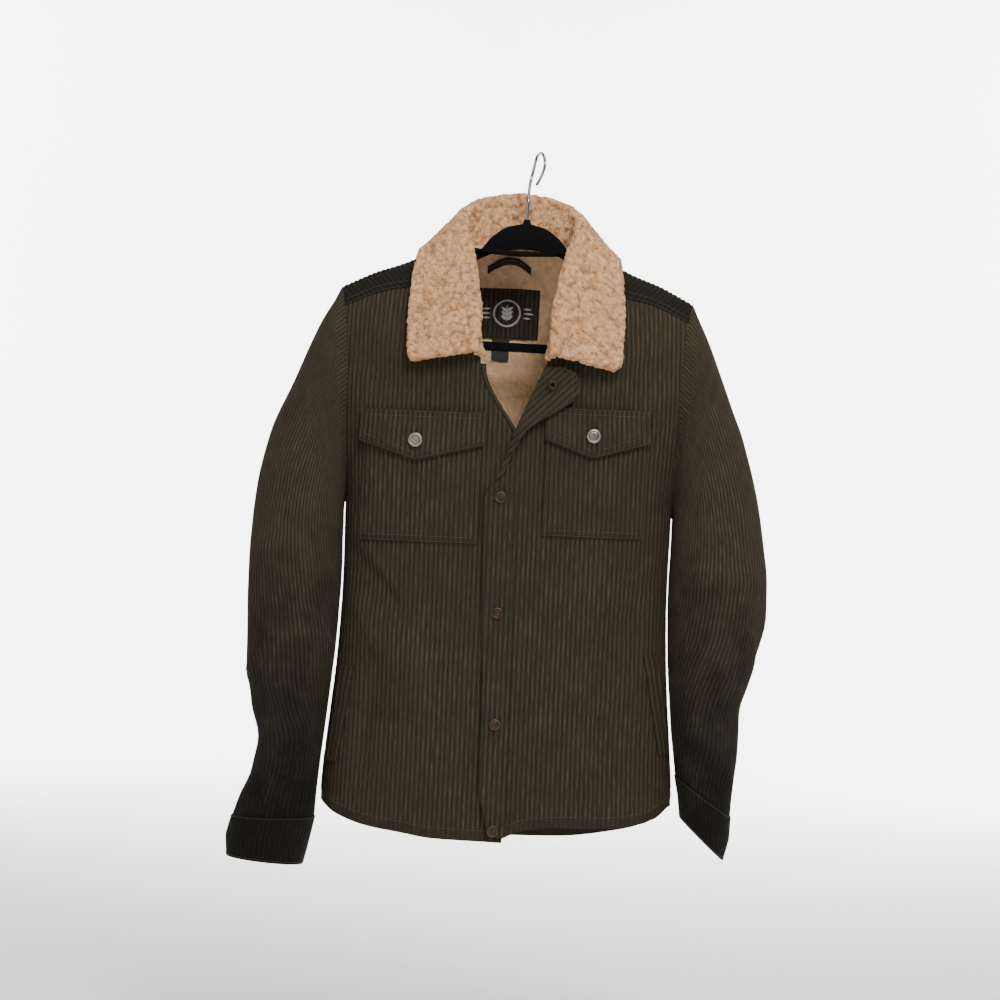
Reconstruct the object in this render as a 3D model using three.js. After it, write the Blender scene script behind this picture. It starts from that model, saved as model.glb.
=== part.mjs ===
// A wide-wale corduroy jacket lined with curly pile, hanging open at the neck on a slim flocked hanger.
// Millimetres. X runs to the viewer's right, Y away from the viewer, Z up.
// The group's origin is where a rail would touch the inside of the hook's bend.
import * as THREE from 'three';

// Driving dimensions
const CLOTH = 2;                 // corduroy wall
const PILE = 4;                  // curly pile lining, pressed
const SEAM = 0.4;                // space left at each seam
const REST = 0.9;                // one layer lies on another at this distance, less where the cloth bends
const LINING_START = CLOTH + 1;
const LINING_END = LINING_START + PILE;
const RIDGE_DROP = 130;          // height over which the shoulder rounds down to the chest's full depth
const SECTION_POWER = 2.6;       // how square the body's section is
const PIT_Z = -430;              // lowest point of the armhole
const TIP_Z = -171;              // highest point of the armhole
const ARMHOLE_SHARE = 0.62;      // depth of the armhole as a share of the body's depth
const HOOK_CONTACT_X = 12;       // where the rail touches the hook, from the hanger's neck
const FRONT = -1;
const BACK = 1;

const DYED = { cord: '#34352a', pile: '#c3a182', patch: '#37332a', velvet: '#0c0c0e' };
const METAL = { bronze: '#4a4238', silver: '#8f8c86', chrome: '#c9cbce' };

// Named columns: rows('z half', [[...], [...]]) gives one object for each row.
function rows(names, lists) {
  const keys = names.split(' ');
  return lists.map((list) => Object.fromEntries(keys.map((key, i) => [key, list[i]])));
}

// Smooth reading of one column against another, held flat past both ends of the table.
function read(table, from, to, value) {
  const rising = table[table.length - 1][from] > table[0][from];
  const list = rising ? table : [...table].reverse();
  const last = list.length - 1;
  if (value <= list[0][from]) return list[0][to];
  if (value >= list[last][from]) return list[last][to];
  let i = 0;
  while (value > list[i + 1][from]) i += 1;
  const slope = (k) => (list[k + 1][to] - list[k][to]) / (list[k + 1][from] - list[k][from]);
  const tangent = (k) => {
    if (k === 0) return slope(0);
    if (k === last) return slope(last - 1);
    const [a, b] = [slope(k - 1), slope(k)];
    return a * b <= 0 ? 0 : (2 * a * b) / (a + b);
  };
  const span = list[i + 1][from] - list[i][from];
  const t = (value - list[i][from]) / span;
  const [t2, t3] = [t * t, t * t * t];
  return (2 * t3 - 3 * t2 + 1) * list[i][to] + (t3 - 2 * t2 + t) * span * tangent(i)
    + (3 * t2 - 2 * t3) * list[i + 1][to] + (t3 - t2) * span * tangent(i + 1);
}

const mix = (a, b, t) => a + (b - a) * t;
const clamp = (t) => Math.min(1, Math.max(0, t));
const ease = (t) => clamp(t) ** 2 * (3 - 2 * clamp(t));
const add = (p, q, k = 1) => p.map((c, i) => c + q[i] * k);
const unit = (p) => p.map((c) => c / Math.hypot(...p));
const cross = (p, q) => [p[1] * q[2] - p[2] * q[1], p[2] * q[0] - p[0] * q[2], p[0] * q[1] - p[1] * q[0]];
const dot = (p, q) => p.reduce((sum, c, i) => sum + c * q[i], 0);

// Body of the garment: half-width below the armholes, and depth in front of and behind the hanger's plane.
const BODY = rows('z half front back', [
  [-100, 196, 60, 58],
  [-250, 196, 64, 63],
  [-430, 196.5, 66, 68],
  [-520, 195.5, 66, 70],
  [-600, 198, 67, 72],
  [-700, 206, 70, 76],
  [-760, 211, 73, 80],
  [-830, 213, 75, 83],
]);
const RIDGE = rows('x z', [
  [0, -60], [40, -82], [85, -117], [114, -128], [137, -139], [172, -152], [203, -167], [213, -172],
]);
const ARMHOLE = rows('z x', [
  [-171, 211], [-190, 208], [-220, 203.5], [-245, 201], [-285, 199], [-335, 199], [-410, 197],
  [-430, 196.5],
]);

// The garment hangs a little to the viewer's left of the hanger's neck, more so at the shoulders.
const lean = (z) => -7 + 6 * clamp((-130 - z) / 670);
const ridge = (x) => read(RIDGE, 'x', 'z', Math.abs(x));
const armShare = (z) => {
  const down = clamp((-200 - z) / (-200 - PIT_Z));
  return ARMHOLE_SHARE * (1 - down ** 2.5) ** 0.6;
};
function halfWidth(z) {
  if (z <= PIT_Z) return read(BODY, 'z', 'half', z);
  return read(ARMHOLE, 'z', 'x', z) / (1 - armShare(z) ** SECTION_POWER) ** (1 / SECTION_POWER);
}
const sideEdge = (z) => (z > PIT_Z ? read(ARMHOLE, 'z', 'x', z) : halfWidth(z));

// The largest folds: soft ridges and troughs, each along a line from (x1, z1) to (x2, z2).
const FOLDS = rows('face x1 z1 x2 z2 width rise', [
  [FRONT, -196, -500, -100, -590, 16, -4],
  [FRONT, -120, -560, -70, -800, 26, 4],
  [FRONT, -45, -430, -60, -640, 20, -3],
  [FRONT, 55, -470, 95, -800, 26, 4],
  [FRONT, 185, -470, 120, -620, 18, -4],
  [FRONT, 175, -240, 130, -320, 18, -3],
  [FRONT, -185, -250, -135, -310, 18, -3],
  [BACK, -150, -300, -80, -560, 26, -5],
  [BACK, 155, -320, 90, -600, 26, -5],
  [BACK, 10, -420, -20, -800, 34, 5],
  [BACK, 190, -480, 130, -560, 18, -4],
  [BACK, -190, -480, -120, -600, 18, -4],
]);
function foldRise(face, x, z) {
  let rise = 0;
  for (const f of FOLDS) {
    if (f.face !== face) continue;
    const [dx, dz] = [f.x2 - f.x1, f.z2 - f.z1];
    const t = clamp(((x - f.x1) * dx + (z - f.z1) * dz) / (dx * dx + dz * dz));
    const away = Math.hypot(x - f.x1 - t * dx, z - f.z1 - t * dz) / f.width;
    rise += f.rise * Math.exp(-away * away) * Math.sin(Math.PI * mix(0.12, 0.88, t));
  }
  return rise;
}

// A point of the body's cloth on one face, moved in by inset (out where it is negative).
function shell(face, x, z, inset = 0, seam = 0) {
  const down = Math.max(0, (ridge(x) - z) / RIDGE_DROP);
  const round = down >= 1 ? 1 : (1 - (1 - down) ** 1.5) ** (1 / 1.5);
  const half = halfWidth(z);
  const across = Math.min(1, Math.abs(x) / half);
  const bow = (1 - across ** SECTION_POWER) ** (1 / SECTION_POWER);
  const depth = read(BODY, 'z', face === FRONT ? 'front' : 'back', z);
  const rise = foldRise(face, x, z) * round * Math.min(1, bow * 1.4);
  const y = Math.max(seam / 2, (depth - inset) * round * bow + rise);
  return [(x * (half - inset)) / half + lean(z), face * y, z - inset * Math.max(0, 1 - down)];
}

// A closed wall between an outer and an inner grid of points; a ring closes on itself along its columns.
function wall(outer, inner, ring = false) {
  const [rowCount, colCount] = [outer.length, outer[0].length];
  const positions = [...outer.flat(2), ...inner.flat(2)];
  const index = (side, i, j) => (side * rowCount + i) * colCount + (j % colCount);
  const faces = [];
  const quad = (a, b, c, d) => faces.push(a, b, c, a, c, d);
  const colSpans = ring ? colCount : colCount - 1;
  for (let i = 0; i < rowCount - 1; i += 1) {
    for (let j = 0; j < colSpans; j += 1) {
      quad(index(0, i, j), index(0, i + 1, j), index(0, i + 1, j + 1), index(0, i, j + 1));
      quad(index(1, i, j), index(1, i, j + 1), index(1, i + 1, j + 1), index(1, i + 1, j));
    }
  }
  for (let j = 0; j < colSpans; j += 1) {
    const end = rowCount - 1;
    quad(index(0, 0, j), index(0, 0, j + 1), index(1, 0, j + 1), index(1, 0, j));
    quad(index(0, end, j), index(1, end, j), index(1, end, j + 1), index(0, end, j + 1));
  }
  if (!ring) {
    for (let i = 0; i < rowCount - 1; i += 1) {
      const end = colCount - 1;
      quad(index(0, i, 0), index(1, i, 0), index(1, i + 1, 0), index(0, i + 1, 0));
      quad(index(0, i, end), index(0, i + 1, end), index(1, i + 1, end), index(1, i, end));
    }
  }
  return facingOut(positions, faces);
}

// A geometry from points and triangles, turned inside out where its volume comes out negative.
function facingOut(positions, faces) {
  const point = (k) => positions.slice(3 * k, 3 * k + 3);
  let volume = 0;
  for (let f = 0; f < faces.length; f += 3) {
    const [a, b, c] = [point(faces[f]), point(faces[f + 1]), point(faces[f + 2])];
    volume += a[0] * (b[1] * c[2] - b[2] * c[1]) - a[1] * (b[0] * c[2] - b[2] * c[0])
      + a[2] * (b[0] * c[1] - b[1] * c[0]);
  }
  if (volume < 0) {
    for (let f = 0; f < faces.length; f += 3) [faces[f], faces[f + 1]] = [faces[f + 1], faces[f]];
  }
  const geometry = new THREE.BufferGeometry();
  geometry.setAttribute('position', new THREE.Float32BufferAttribute(positions, 3));
  geometry.setIndex(faces);
  geometry.computeVertexNormals();
  return geometry;
}

const steps = (count) => Array.from({ length: count + 1 }, (_, i) => i / count);
const grid = (rowAt, colAt, place) => rowAt.map((v) => colAt.map((u) => place(u, v)));

const jacket = new THREE.Group();
function piece(name, geometry, color, roughness = 0.9, metalness = 0) {
  const material = new THREE.MeshStandardMaterial({ color, roughness, metalness });
  const mesh = new THREE.Mesh(geometry, material);
  mesh.name = name;
  jacket.add(mesh);
}

// Equal steps of cloth across one height of a face, from one x to another.
function acrossAt(face, z, from, to, share) {
  const samples = steps(24).map((k) => mix(from, to, Math.sin((k * Math.PI) / 2)));
  const lengths = [0];
  for (let i = 1; i < samples.length; i += 1) {
    const [p, q] = [shell(face, samples[i - 1], z), shell(face, samples[i], z)];
    lengths.push(lengths[i - 1] + Math.hypot(q[0] - p[0], q[1] - p[1]));
  }
  const wanted = share * lengths[lengths.length - 1];
  let i = 1;
  while (i < samples.length - 1 && lengths[i] < wanted) i += 1;
  return mix(samples[i - 1], samples[i], (wanted - lengths[i - 1]) / (lengths[i] - lengths[i - 1]));
}

// Fronts: out is the distance from the garment's centre line towards the side seam.
const YOKE_SEAM = rows('out z', [[78, -157], [85, -158], [124, -169], [162, -177], [206, -196]]);
const BACK_YOKE_Z = -250;
const SHOULDER_COLUMNS = 12;     // steps of cloth from the neck to the armhole, as in the yoke
const HEM = {
  right: rows('out z', [[-9, -826], [72, -825], [114, -820], [153, -815], [193, -803], [213, -789]]),
  left: rows('out z', [
    [-30, -830], [5, -822], [30, -811], [77, -805], [125, -804], [175, -797], [200, -783], [213, -764],
  ]),
};
const FRONT_EDGE = {
  right: rows('z out', [
    [-157, 80], [-205, 60], [-253, 41], [-266, 40], [-337, -0.6], [-352, -9], [-830, -9],
  ]),
  left: rows('z out', [
    [-157, 80], [-205, 60], [-251, 40], [-330, 6], [-396, -17], [-414, -29.5], [-492, -28],
    [-588, -24.5], [-684, -21.5], [-756, -21], [-810, -11], [-830, -4.5],
  ]),
};
const FRONTS = [
  { side: 'right', sign: -1, lift: () => 0 },
  { side: 'left', sign: 1, lift: (out, z) => 3.2 * ease((34 - out) / 18) * ease((-300 - z) / 40) },
];

// Rows of a front or of a lining: a few above the armhole's lowest point, the others below it.
function rowShares(top, bottom, above, below) {
  const pit = (top - PIT_Z) / (top - bottom);
  return [...steps(above).map((k) => k * pit), ...steps(below).slice(1).map((k) => mix(pit, 1, k))];
}

function frontGrid(front, shares, columns, inset) {
  const edge = (z) => read(FRONT_EDGE[front.side], 'z', 'out', z);
  const top = (out) => read(YOKE_SEAM, 'out', 'z', out) - SEAM / 2;
  const hem = (out) => read(HEM[front.side], 'out', 'z', out);
  const outTop = (u) => mix(edge(-157), read(ARMHOLE, 'z', 'x', -196), u);
  const outLow = (u) => mix(edge(-826), halfWidth(-800), u);
  return grid(shares, columns, (u, v) => {
    const z = mix(top(outTop(u)), hem(outLow(u)), v);
    const even = mix(edge(z), sideEdge(z), u);
    const equal = front.sign * acrossAt(FRONT, z, front.sign * edge(z), front.sign * sideEdge(z), u);
    const out = mix(even, equal, ease(v * 5));
    return shell(FRONT, front.sign * out, z, inset - front.lift(out, z), SEAM);
  });
}
const frontShares = rowShares(-196, -780, 9, 11);
for (const front of FRONTS) {
  const cloth = (inset) => frontGrid(front, frontShares, steps(SHOULDER_COLUMNS), inset);
  piece(`front_${front.side}`, wall(cloth(0), cloth(CLOTH)), DYED.cord);
}

// Back: from the yoke's seam to a hem that dips a little in the middle.
const BACK_HEM = rows('out z', [[0, -832], [80, -829], [150, -817], [195, -799], [213, -778]]);
const acrossBack = steps(22).map((u) => 2 * u - 1);
function backGrid(shares, inset) {
  return grid(shares, acrossBack, (u, v) => {
    const reach = Math.abs(u);
    const z = mix(BACK_YOKE_Z - SEAM / 2, read(BACK_HEM, 'out', 'z', reach * 213), v);
    const out = acrossAt(BACK, z, 0, sideEdge(z), reach);
    return shell(BACK, Math.sign(u) * out, z, inset, SEAM);
  });
}
const backShares = rowShares(BACK_YOKE_Z, -778, 6, 11);
piece('back', wall(backGrid(backShares, 0), backGrid(backShares, CLOTH)), DYED.cord);

// Yoke: rows run from one front seam over the shoulder and round the neck to the other front seam.
// Each row goes from the neckline out to the armhole or to the back seam. Places are (x, z, face).
const NECK_BACK = rows('x z', [[0, -121], [40, -119.5], [66, -118], [82, -117.5], [85, -117]]);
function neckPlace(turn) {
  // turn 0 at the front seam, 0.4 on the ridge, 1 at the centre of the back neck
  if (turn < 0.4) {
    const t = turn / 0.4;
    return { x: mix(80, 85, ease(t)), z: mix(-157 + SEAM / 2, -117, t ** 1.4), face: FRONT };
  }
  const x = 85 * Math.cos(((turn - 0.4) / 0.6) * (Math.PI / 2));
  return { x, z: Math.min(read(NECK_BACK, 'x', 'z', x), ridge(x)), face: BACK };
}
function outerPlace(turn) {
  // the armhole from the front seam over its tip and down to the back seam, then along that seam
  const seamZ = read(YOKE_SEAM, 'out', 'z', 206) + SEAM / 2;
  if (turn < 0.4) {
    const z = mix(seamZ, TIP_Z, (turn / 0.4) ** 0.8);
    return { x: read(ARMHOLE, 'z', 'x', z), z, face: FRONT };
  }
  const corner = 0.62;
  const low = BACK_YOKE_Z + SEAM / 2;
  if (turn < corner) {
    const z = mix(TIP_Z, low, ((turn - 0.4) / (corner - 0.4)) ** 1.2);
    return { x: read(ARMHOLE, 'z', 'x', z), z, face: BACK };
  }
  return { x: read(ARMHOLE, 'z', 'x', low) * (1 - (turn - corner) / (1 - corner)), z: low, face: BACK };
}
// How far a place has come over the ridge: negative in front, as an angle of the rounded shoulder.
function overRidge({ x, z, face }) {
  const down = Math.max(0, (ridge(x) - z) / RIDGE_DROP);
  return face * (down < 1 ? Math.acos((1 - down) ** 0.75) : Math.PI / 2 + (down - 1) * 1.2);
}
function fromRidge(x, over) {
  const turn = Math.abs(over);
  const down = turn < Math.PI / 2 ? 1 - Math.cos(turn) ** (4 / 3) : 1 + (turn - Math.PI / 2) / 1.2;
  return { z: ridge(x) - down * RIDGE_DROP, face: over < 0 ? FRONT : BACK };
}
function frontSeamPlace(u) {
  const out = mix(80, read(ARMHOLE, 'z', 'x', -196), u);
  return { x: out, z: read(YOKE_SEAM, 'out', 'z', out) + SEAM / 2, face: FRONT };
}
const SEAM_REACH = 0.3;          // share of the way to the armhole over which the front seam bends the rows
function yokeGrid(inset) {
  const turns = [0, 0.1, 0.2, 0.3, 0.36, 0.4, 0.44, 0.5, 0.56, 0.62, 0.69, 0.76, 0.84, 0.92, 1];
  const whole = [
    ...turns.map((turn) => [turn, -1]),
    ...turns.slice(0, -1).reverse().map((turn) => [turn, 1]),
  ];
  return whole.map(([turn, sign]) => steps(SHOULDER_COLUMNS).map((u) => {
    let place = frontSeamPlace(u);
    if (turn > 0) {
      const [neck, outer] = [neckPlace(turn), outerPlace(turn)];
      const x = mix(neck.x, outer.x, u);
      const over = mix(overRidge(neck), overRidge(outer), u);
      const straight = mix(overRidge(neckPlace(0)), overRidge(outerPlace(0)), u);
      const bend = Math.max(0, 1 - turn / SEAM_REACH) * (overRidge(place) - straight);
      place = { x, ...fromRidge(x, over + bend) };
    }
    return shell(place.face, sign * place.x, place.z, inset);
  }));
}
piece('yoke', wall(yokeGrid(0), yokeGrid(CLOTH)), DYED.cord);

// Sleeves: each ring has an outermost point (ox, oz), an inner one under the arm (ix, iz), a half-depth and
// a place in depth. Distances in x are from the hanger's neck.
const SLEEVES = {
  right: rows('ox oz ix iz deep mid', [
    [227, 190, 203.5, 434, 47, 0], [240, 216, 204.5, 441, 53, 0], [256, 253, 205, 450, 59, -1],
    [271, 290, 205.5, 461, 64, -2], [286, 326, 205.5, 474, 68, -3], [299, 366, 205.5, 489, 71, -4],
    [307.5, 410, 205, 508, 72, -6], [311.5, 455, 205, 530, 71, -8], [313, 500, 205, 554, 68, -10],
    [312.5, 545, 205.5, 581, 64, -12], [310.5, 590, 207, 610, 61, -15], [309, 632, 209.5, 642, 59, -18],
    [302, 676, 212.5, 676, 57, -21], [290, 718, 216, 711, 54, -25], [296, 758, 218, 746, 50, -29],
    [308, 788, 218.5, 780, 46, -33], [315, 811, 219, 808, 43, -36],
  ]),
  left: rows('ox oz ix iz deep mid', [
    [215, 192, 196.5, 434, 47, 0], [226, 217, 197.5, 441, 53, 0], [241, 253, 198, 450, 59, -1],
    [257, 290, 198.5, 461, 64, -2], [272, 327, 198.5, 474, 68, -3], [286, 369, 198.5, 489, 71, -4],
    [297, 412, 198.5, 508, 72, -6], [305, 457, 198.5, 530, 71, -8], [311.5, 502, 199, 554, 68, -10],
    [312.5, 545, 200, 581, 64, -12], [304.5, 592, 201.5, 608, 61, -15], [293, 634, 204, 636, 58, -18],
    [286, 676, 208, 664, 56, -21], [285.5, 708, 212.5, 688, 53, -24], [283, 736, 215.5, 706, 49, -27],
    [281, 762, 217, 723, 45, -29], [280, 783, 217.5, 738, 42, -31],
  ]),
};
const CUFFS = {
  right: rows('ox oz ix iz deep mid', [[321, 835, 223, 838, 44, -38], [320, 860, 228, 866, 42, -40]]),
  left: rows('ox oz ix iz deep mid', [[279.5, 810, 217, 763, 43, -33], [274, 837, 219.5, 788, 41, -35]]),
};
const CUFF_PROUD = 1.5;          // the cuff stands this far outside the sleeve's end
const ARMHOLE_SEAM = 1;
const AROUND = 22;
const angles = Array.from({ length: AROUND }, (_, j) => (j * 2 * Math.PI) / AROUND);

// One ring of a sleeve, moved in by inset: it starts under the arm and comes up the front.
function sleeveRing(row, sign, inset) {
  const [outermost, inner] = [[sign * row.ox, row.mid, -row.oz], [sign * row.ix, row.mid, -row.iz]];
  const centre = add(inner, outermost).map((c) => c / 2);
  const reach = add(outermost, inner, -1);
  const long = Math.hypot(...reach) / 2;
  const along = unit(reach);
  return angles.map((a) => {
    const p = add(centre, along, -Math.cos(a) * (long - inset));
    return add(p, [0, 1, 0], -Math.sin(a) * (row.deep - inset));
  });
}
function armholeRing(sign, inset) {
  return angles.map((a) => {
    const z = mix(PIT_Z, TIP_Z, (1 - Math.cos(a)) / 2);
    const face = a <= Math.PI ? FRONT : BACK;
    const p = shell(face, sign * read(ARMHOLE, 'z', 'x', z), z, inset);
    return [p[0] + sign * ARMHOLE_SEAM, p[1], p[2]];
  });
}
for (const { side, sign } of FRONTS) {
  const below = (inset) => SLEEVES[side].map((r) => sleeveRing(r, sign, inset));
  const body = (inset) => [armholeRing(sign, inset), ...below(inset)];
  piece(`sleeve_${side}`, wall(body(0), body(CLOTH), true), DYED.cord);
  const end = SLEEVES[side][SLEEVES[side].length - 1];
  const level = unit([-(end.iz - end.oz), 0, -(end.ox - end.ix)]);
  const drop = [sign * level[0] * SEAM, 0, level[2] * SEAM];
  const band = (inset) => [
    sleeveRing(end, sign, inset - CUFF_PROUD).map((p) => add(p, drop)),
    ...CUFFS[side].map((r) => sleeveRing(r, sign, inset)),
  ];
  piece(`cuff_${side}`, wall(band(0), band(CLOTH + 1), true), DYED.cord);
}

// Linings: curly pile on the inside of the back and of both fronts, on the panels' own rows and columns.
const LINING_TOP = rows('out z', [
  [0, -125], [60, -126], [85, -134], [125, -153], [170, -168], [203, -184],
]);
const LINING_HEM = 0.985;        // the lining stops this far down each panel
const SIDE_COLUMNS = 9;          // columns of each front that its lining backs
const shorten = (shares) => shares.map((v) => Math.min(v, LINING_HEM));
const yokeRows = (inset) => grid(steps(7).slice(0, -1), acrossBack, (u, v) => {
  const reach = Math.abs(u);
  const z = mix(read(LINING_TOP, 'out', 'z', reach * 203), BACK_YOKE_Z, v);
  return shell(BACK, Math.sign(u) * acrossAt(BACK, z, 0, sideEdge(z), reach), z, inset, SEAM);
});
const YOKE_EASE = 1.3;           // behind the yoke the lining hangs a little freer
const backPile = (inset) => [...yokeRows(inset + YOKE_EASE), ...backGrid(shorten(backShares), inset)];
piece('lining_back', wall(backPile(LINING_START), backPile(LINING_END)), DYED.pile, 1);
for (const front of FRONTS) {
  const shares = shorten(frontShares.slice(1));
  const columns = steps(SHOULDER_COLUMNS).slice(-SIDE_COLUMNS - 1);
  const pile = (inset) => frontGrid(front, shares, columns, inset);
  piece(`lining_${front.side}`, wall(pile(LINING_START), pile(LINING_END)), DYED.pile, 1);
}

// Pieces that lie on the front: a grid between four edges, each place measured from the hanger's neck.
function onFront(columns, rowCount, place, inset) {
  return grid(steps(rowCount), steps(columns), (u, v) => {
    const { x, z, lift = 0 } = place(u, v);
    return shell(FRONT, x - lean(z), z, inset - lift);
  });
}
function layer(name, { columns, down, place, start, thick, color = DYED.cord }) {
  const outer = onFront(columns, down, place, -(start + thick));
  piece(name, wall(outer, onFront(columns, down, place, -start)), color);
}

// Chest pockets, their pointed flaps and the snap on each flap.
const POCKETS = [
  { side: 'right', inner: -38.5, outer: -178.5, top: -322, low: -474, flapTop: -316.5, tip: -114.5 },
  { side: 'left', inner: 35.5, outer: 154, top: -312, low: -460, flapTop: -305.5, tip: 90 },
];
const POCKET_TILT = 0.01;        // rise of a pocket's edges for each millimetre toward +X
const BAND_THICK = 1.6;          // of the narrow bands: the facing, the welts and the neck loop
const POCKET_THICK = 1.6;
const FLAP_THICK = 2;
const FLAP_WING = 40;            // height of a flap at its ends
const FLAP_POINT = 60;           // and at its point
const FLAP_OVERHANG = 2;
const FLAP_LIFT = 2.5;           // how far its free edge stands off
for (const { side, inner, outer, top, low, flapTop, tip } of POCKETS) {
  const slope = (x) => POCKET_TILT * (x - inner);
  const pocket = (u, v) => {
    const x = mix(inner, outer, u);
    return { x, z: mix(top, low, v) + slope(x) };
  };
  layer(`pocket_${side}`, { columns: 8, down: 7, place: pocket, start: REST, thick: POCKET_THICK });
  const over = FLAP_OVERHANG * Math.sign(outer);
  const [start, end] = [inner - over, outer + over];
  const flap = (u, v) => {
    const x = mix(start, end, u);
    const nearInner = Math.abs(x - start) < Math.abs(tip - start);
    const reach = nearInner ? (x - start) / (tip - start) : (end - x) / (end - tip);
    const height = mix(FLAP_WING, FLAP_POINT, clamp(reach));
    return { x, z: flapTop + slope(x) - v * height, lift: FLAP_LIFT * ease(v) };
  };
  layer(`flap_${side}`, {
    columns: 8, down: 4, place: flap, start: REST * 2 + POCKET_THICK, thick: FLAP_THICK, color: DYED.cord,
  });
}

// A snap cap, domed, standing on the cloth at one place of the front.
const SNAP_PROFILE = rows('r h', [[0, 0], [1, 0], [1, 0.35], [0.86, 0.72], [0.55, 0.92], [0, 1]]);
function snap(name, { x, z, radius, height, start, color }) {
  const near = (dx, dz) => shell(FRONT, x + dx - lean(z + dz), z + dz, -start);
  const toward = unit(cross(add(near(4, 0), near(-4, 0), -1), add(near(0, 4), near(0, -4), -1)));
  const points = SNAP_PROFILE.map(({ r, h }) => new THREE.Vector2(r * radius, h * height));
  const geometry = new THREE.LatheGeometry(points, 12);
  geometry.applyQuaternion(new THREE.Quaternion().setFromUnitVectors(
    new THREE.Vector3(0, 1, 0),
    new THREE.Vector3(...toward),
  ));
  geometry.translate(...add(near(0, 0), toward, SEAM));
  piece(name, geometry, color, 0.4, 0.8);
}

// The overlapping band that carries the snaps, on the left front's edge.
const PLACKET_WIDTH = 38;
const PLACKET_THICK = 1.6;
const placketEdge = (z) => read(FRONT_EDGE.left, 'z', 'out', z);
const placketPlace = (u, v) => {
  const z = mix(-410, -826 + 8 * u, v);
  const edge = placketEdge(z) + 0.5;
  return { x: mix(edge, 8 + 0.35 * (edge + 28), u) + lean(z), z, lift: FRONTS[1].lift(edge, z) };
};
layer('placket', { columns: 3, down: 14, place: placketPlace, start: REST, thick: PLACKET_THICK });

// The left front's top, turned back over its own panel below the collar. Its fold follows the front's edge.
const LAPEL_EDGE = rows('v x z', [
  [0, 50, -258], [0.08, 66, -267], [0.17, 68.5, -284], [0.55, 10, -338], [1, -14, -392],
]);
const LAPEL_PROUD = 9;           // its corner lies over the pocket flap
const lapelPlace = (u, v) => {
  const foldZ = mix(-258, -396, v);
  const foldX = placketEdge(foldZ) + lean(foldZ) + 0.5;
  const x = mix(foldX, read(LAPEL_EDGE, 'v', 'x', v), u);
  const z = mix(foldZ, read(LAPEL_EDGE, 'v', 'z', v), u);
  return { x, z, lift: FRONTS[1].lift(x - lean(z), z) + LAPEL_PROUD * ease(u) * ease((1 - v) * 2) };
};
layer('lapel', { columns: 4, down: 9, place: lapelPlace, start: REST, thick: CLOTH });

// The right front's facing shows as a narrow band inside the open neck, a little past the front's edge.
const FACING_WIDTH = 22;
const FACING_SHOWS = 6;
const facingPlace = (u, v) => {
  const z = mix(-270, -350, v);
  const edge = read(FRONT_EDGE.right, 'z', 'out', z) - FACING_SHOWS;
  return { x: -(edge + u * FACING_WIDTH) + lean(z), z };
};
layer('facing_right', {
  columns: 3, down: 6, place: facingPlace, start: -(CLOTH + REST + BAND_THICK), thick: BAND_THICK,
});

// Slanted welts of the hand pockets: two corners at the top and two at the foot.
const WELTS = rows('side topIn topOut topZ lowIn lowOut lowZ', [
  ['right', -178, -195, -627, -192, -205, -742],
  ['left', 165, 183, -598, 189, 203, -714],
]);
for (const w of WELTS) {
  const place = (u, v) => ({
    x: mix(mix(w.topIn, w.topOut, u), mix(w.lowIn, w.lowOut, u), v),
    z: mix(w.topZ, w.lowZ, v),
  });
  layer(`welt_${w.side}`, { columns: 3, down: 7, place, start: REST, thick: BAND_THICK });
}

// Snaps: dark caps down the placket, the socket on the turned-back top, and a bright cap on each flap.
const PLACKET_SNAPS = rows('x z', [[-14, -416], [-11, -554], [-7, -686], [-3.5, -812]]);
PLACKET_SNAPS.forEach(({ x, z }, i) => snap(`placket_snap_${i + 1}`, {
  x, z, radius: 7, height: 3, start: REST + PLACKET_THICK + FRONTS[1].lift(x, z), color: METAL.bronze,
}));
const SOCKET_LIFT = 4.6;         // the turned-back top stands this far off where its socket sits
snap('snap_socket', {
  x: 39, z: -280, radius: 6.5, height: 2, start: REST + CLOTH + SOCKET_LIFT, color: METAL.bronze,
});
const SNAP_LIFT = 2.4;           // a flap stands this far off its pocket where its cap sits
for (const { side, x, z } of [{ side: 'right', x: -115, z: -353 }, { side: 'left', x: 89, z: -338 }]) {
  const start = REST * 2 + POCKET_THICK + FLAP_THICK + SNAP_LIFT;
  snap(`flap_snap_${side}`, { x, z, radius: 8.8, height: 4, start, color: METAL.silver });
}

// Collar: a folded sheet of pile. Each row is a section, from the front end (s 0) to the centre of
// the back (s 1): n is where it is sewn on, f the top of its fold and e its free edge.
const COLLAR_THICK = 7;
const FOLD_RADIUS = 4.5;
const COLLAR = rows('s nx nz face fx fy fz ex ey ez', [
  [0, 40, -252, -1, 49, -78, -247, 127, -76, -262],
  [0.11, 59.5, -205, -1, 49, -71, -203, 129, -65, -226],
  [0.22, 78, -165, -1, 54, -60, -167, 129, -52, -190],
  [0.33, 84, -135, -1, 61, -42, -131, 127, -38, -158],
  [0.44, 85, -117, -1, 70, -14, -98, 122, -12, -126],
  [0.55, 79, -115, 1, 72, 9, -80, 118, 14, -125],
  [0.66, 66, -117, 1, 60, 35, -65, 104, 42, -134],
  [0.8, 40, -120, 1, 35, 51, -55, 70, 58, -134],
  [1, 0, -121, 1, 0, 55, -51, 0, 64, -132],
]);
const COLLAR_LEAN = -6.5;
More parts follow.
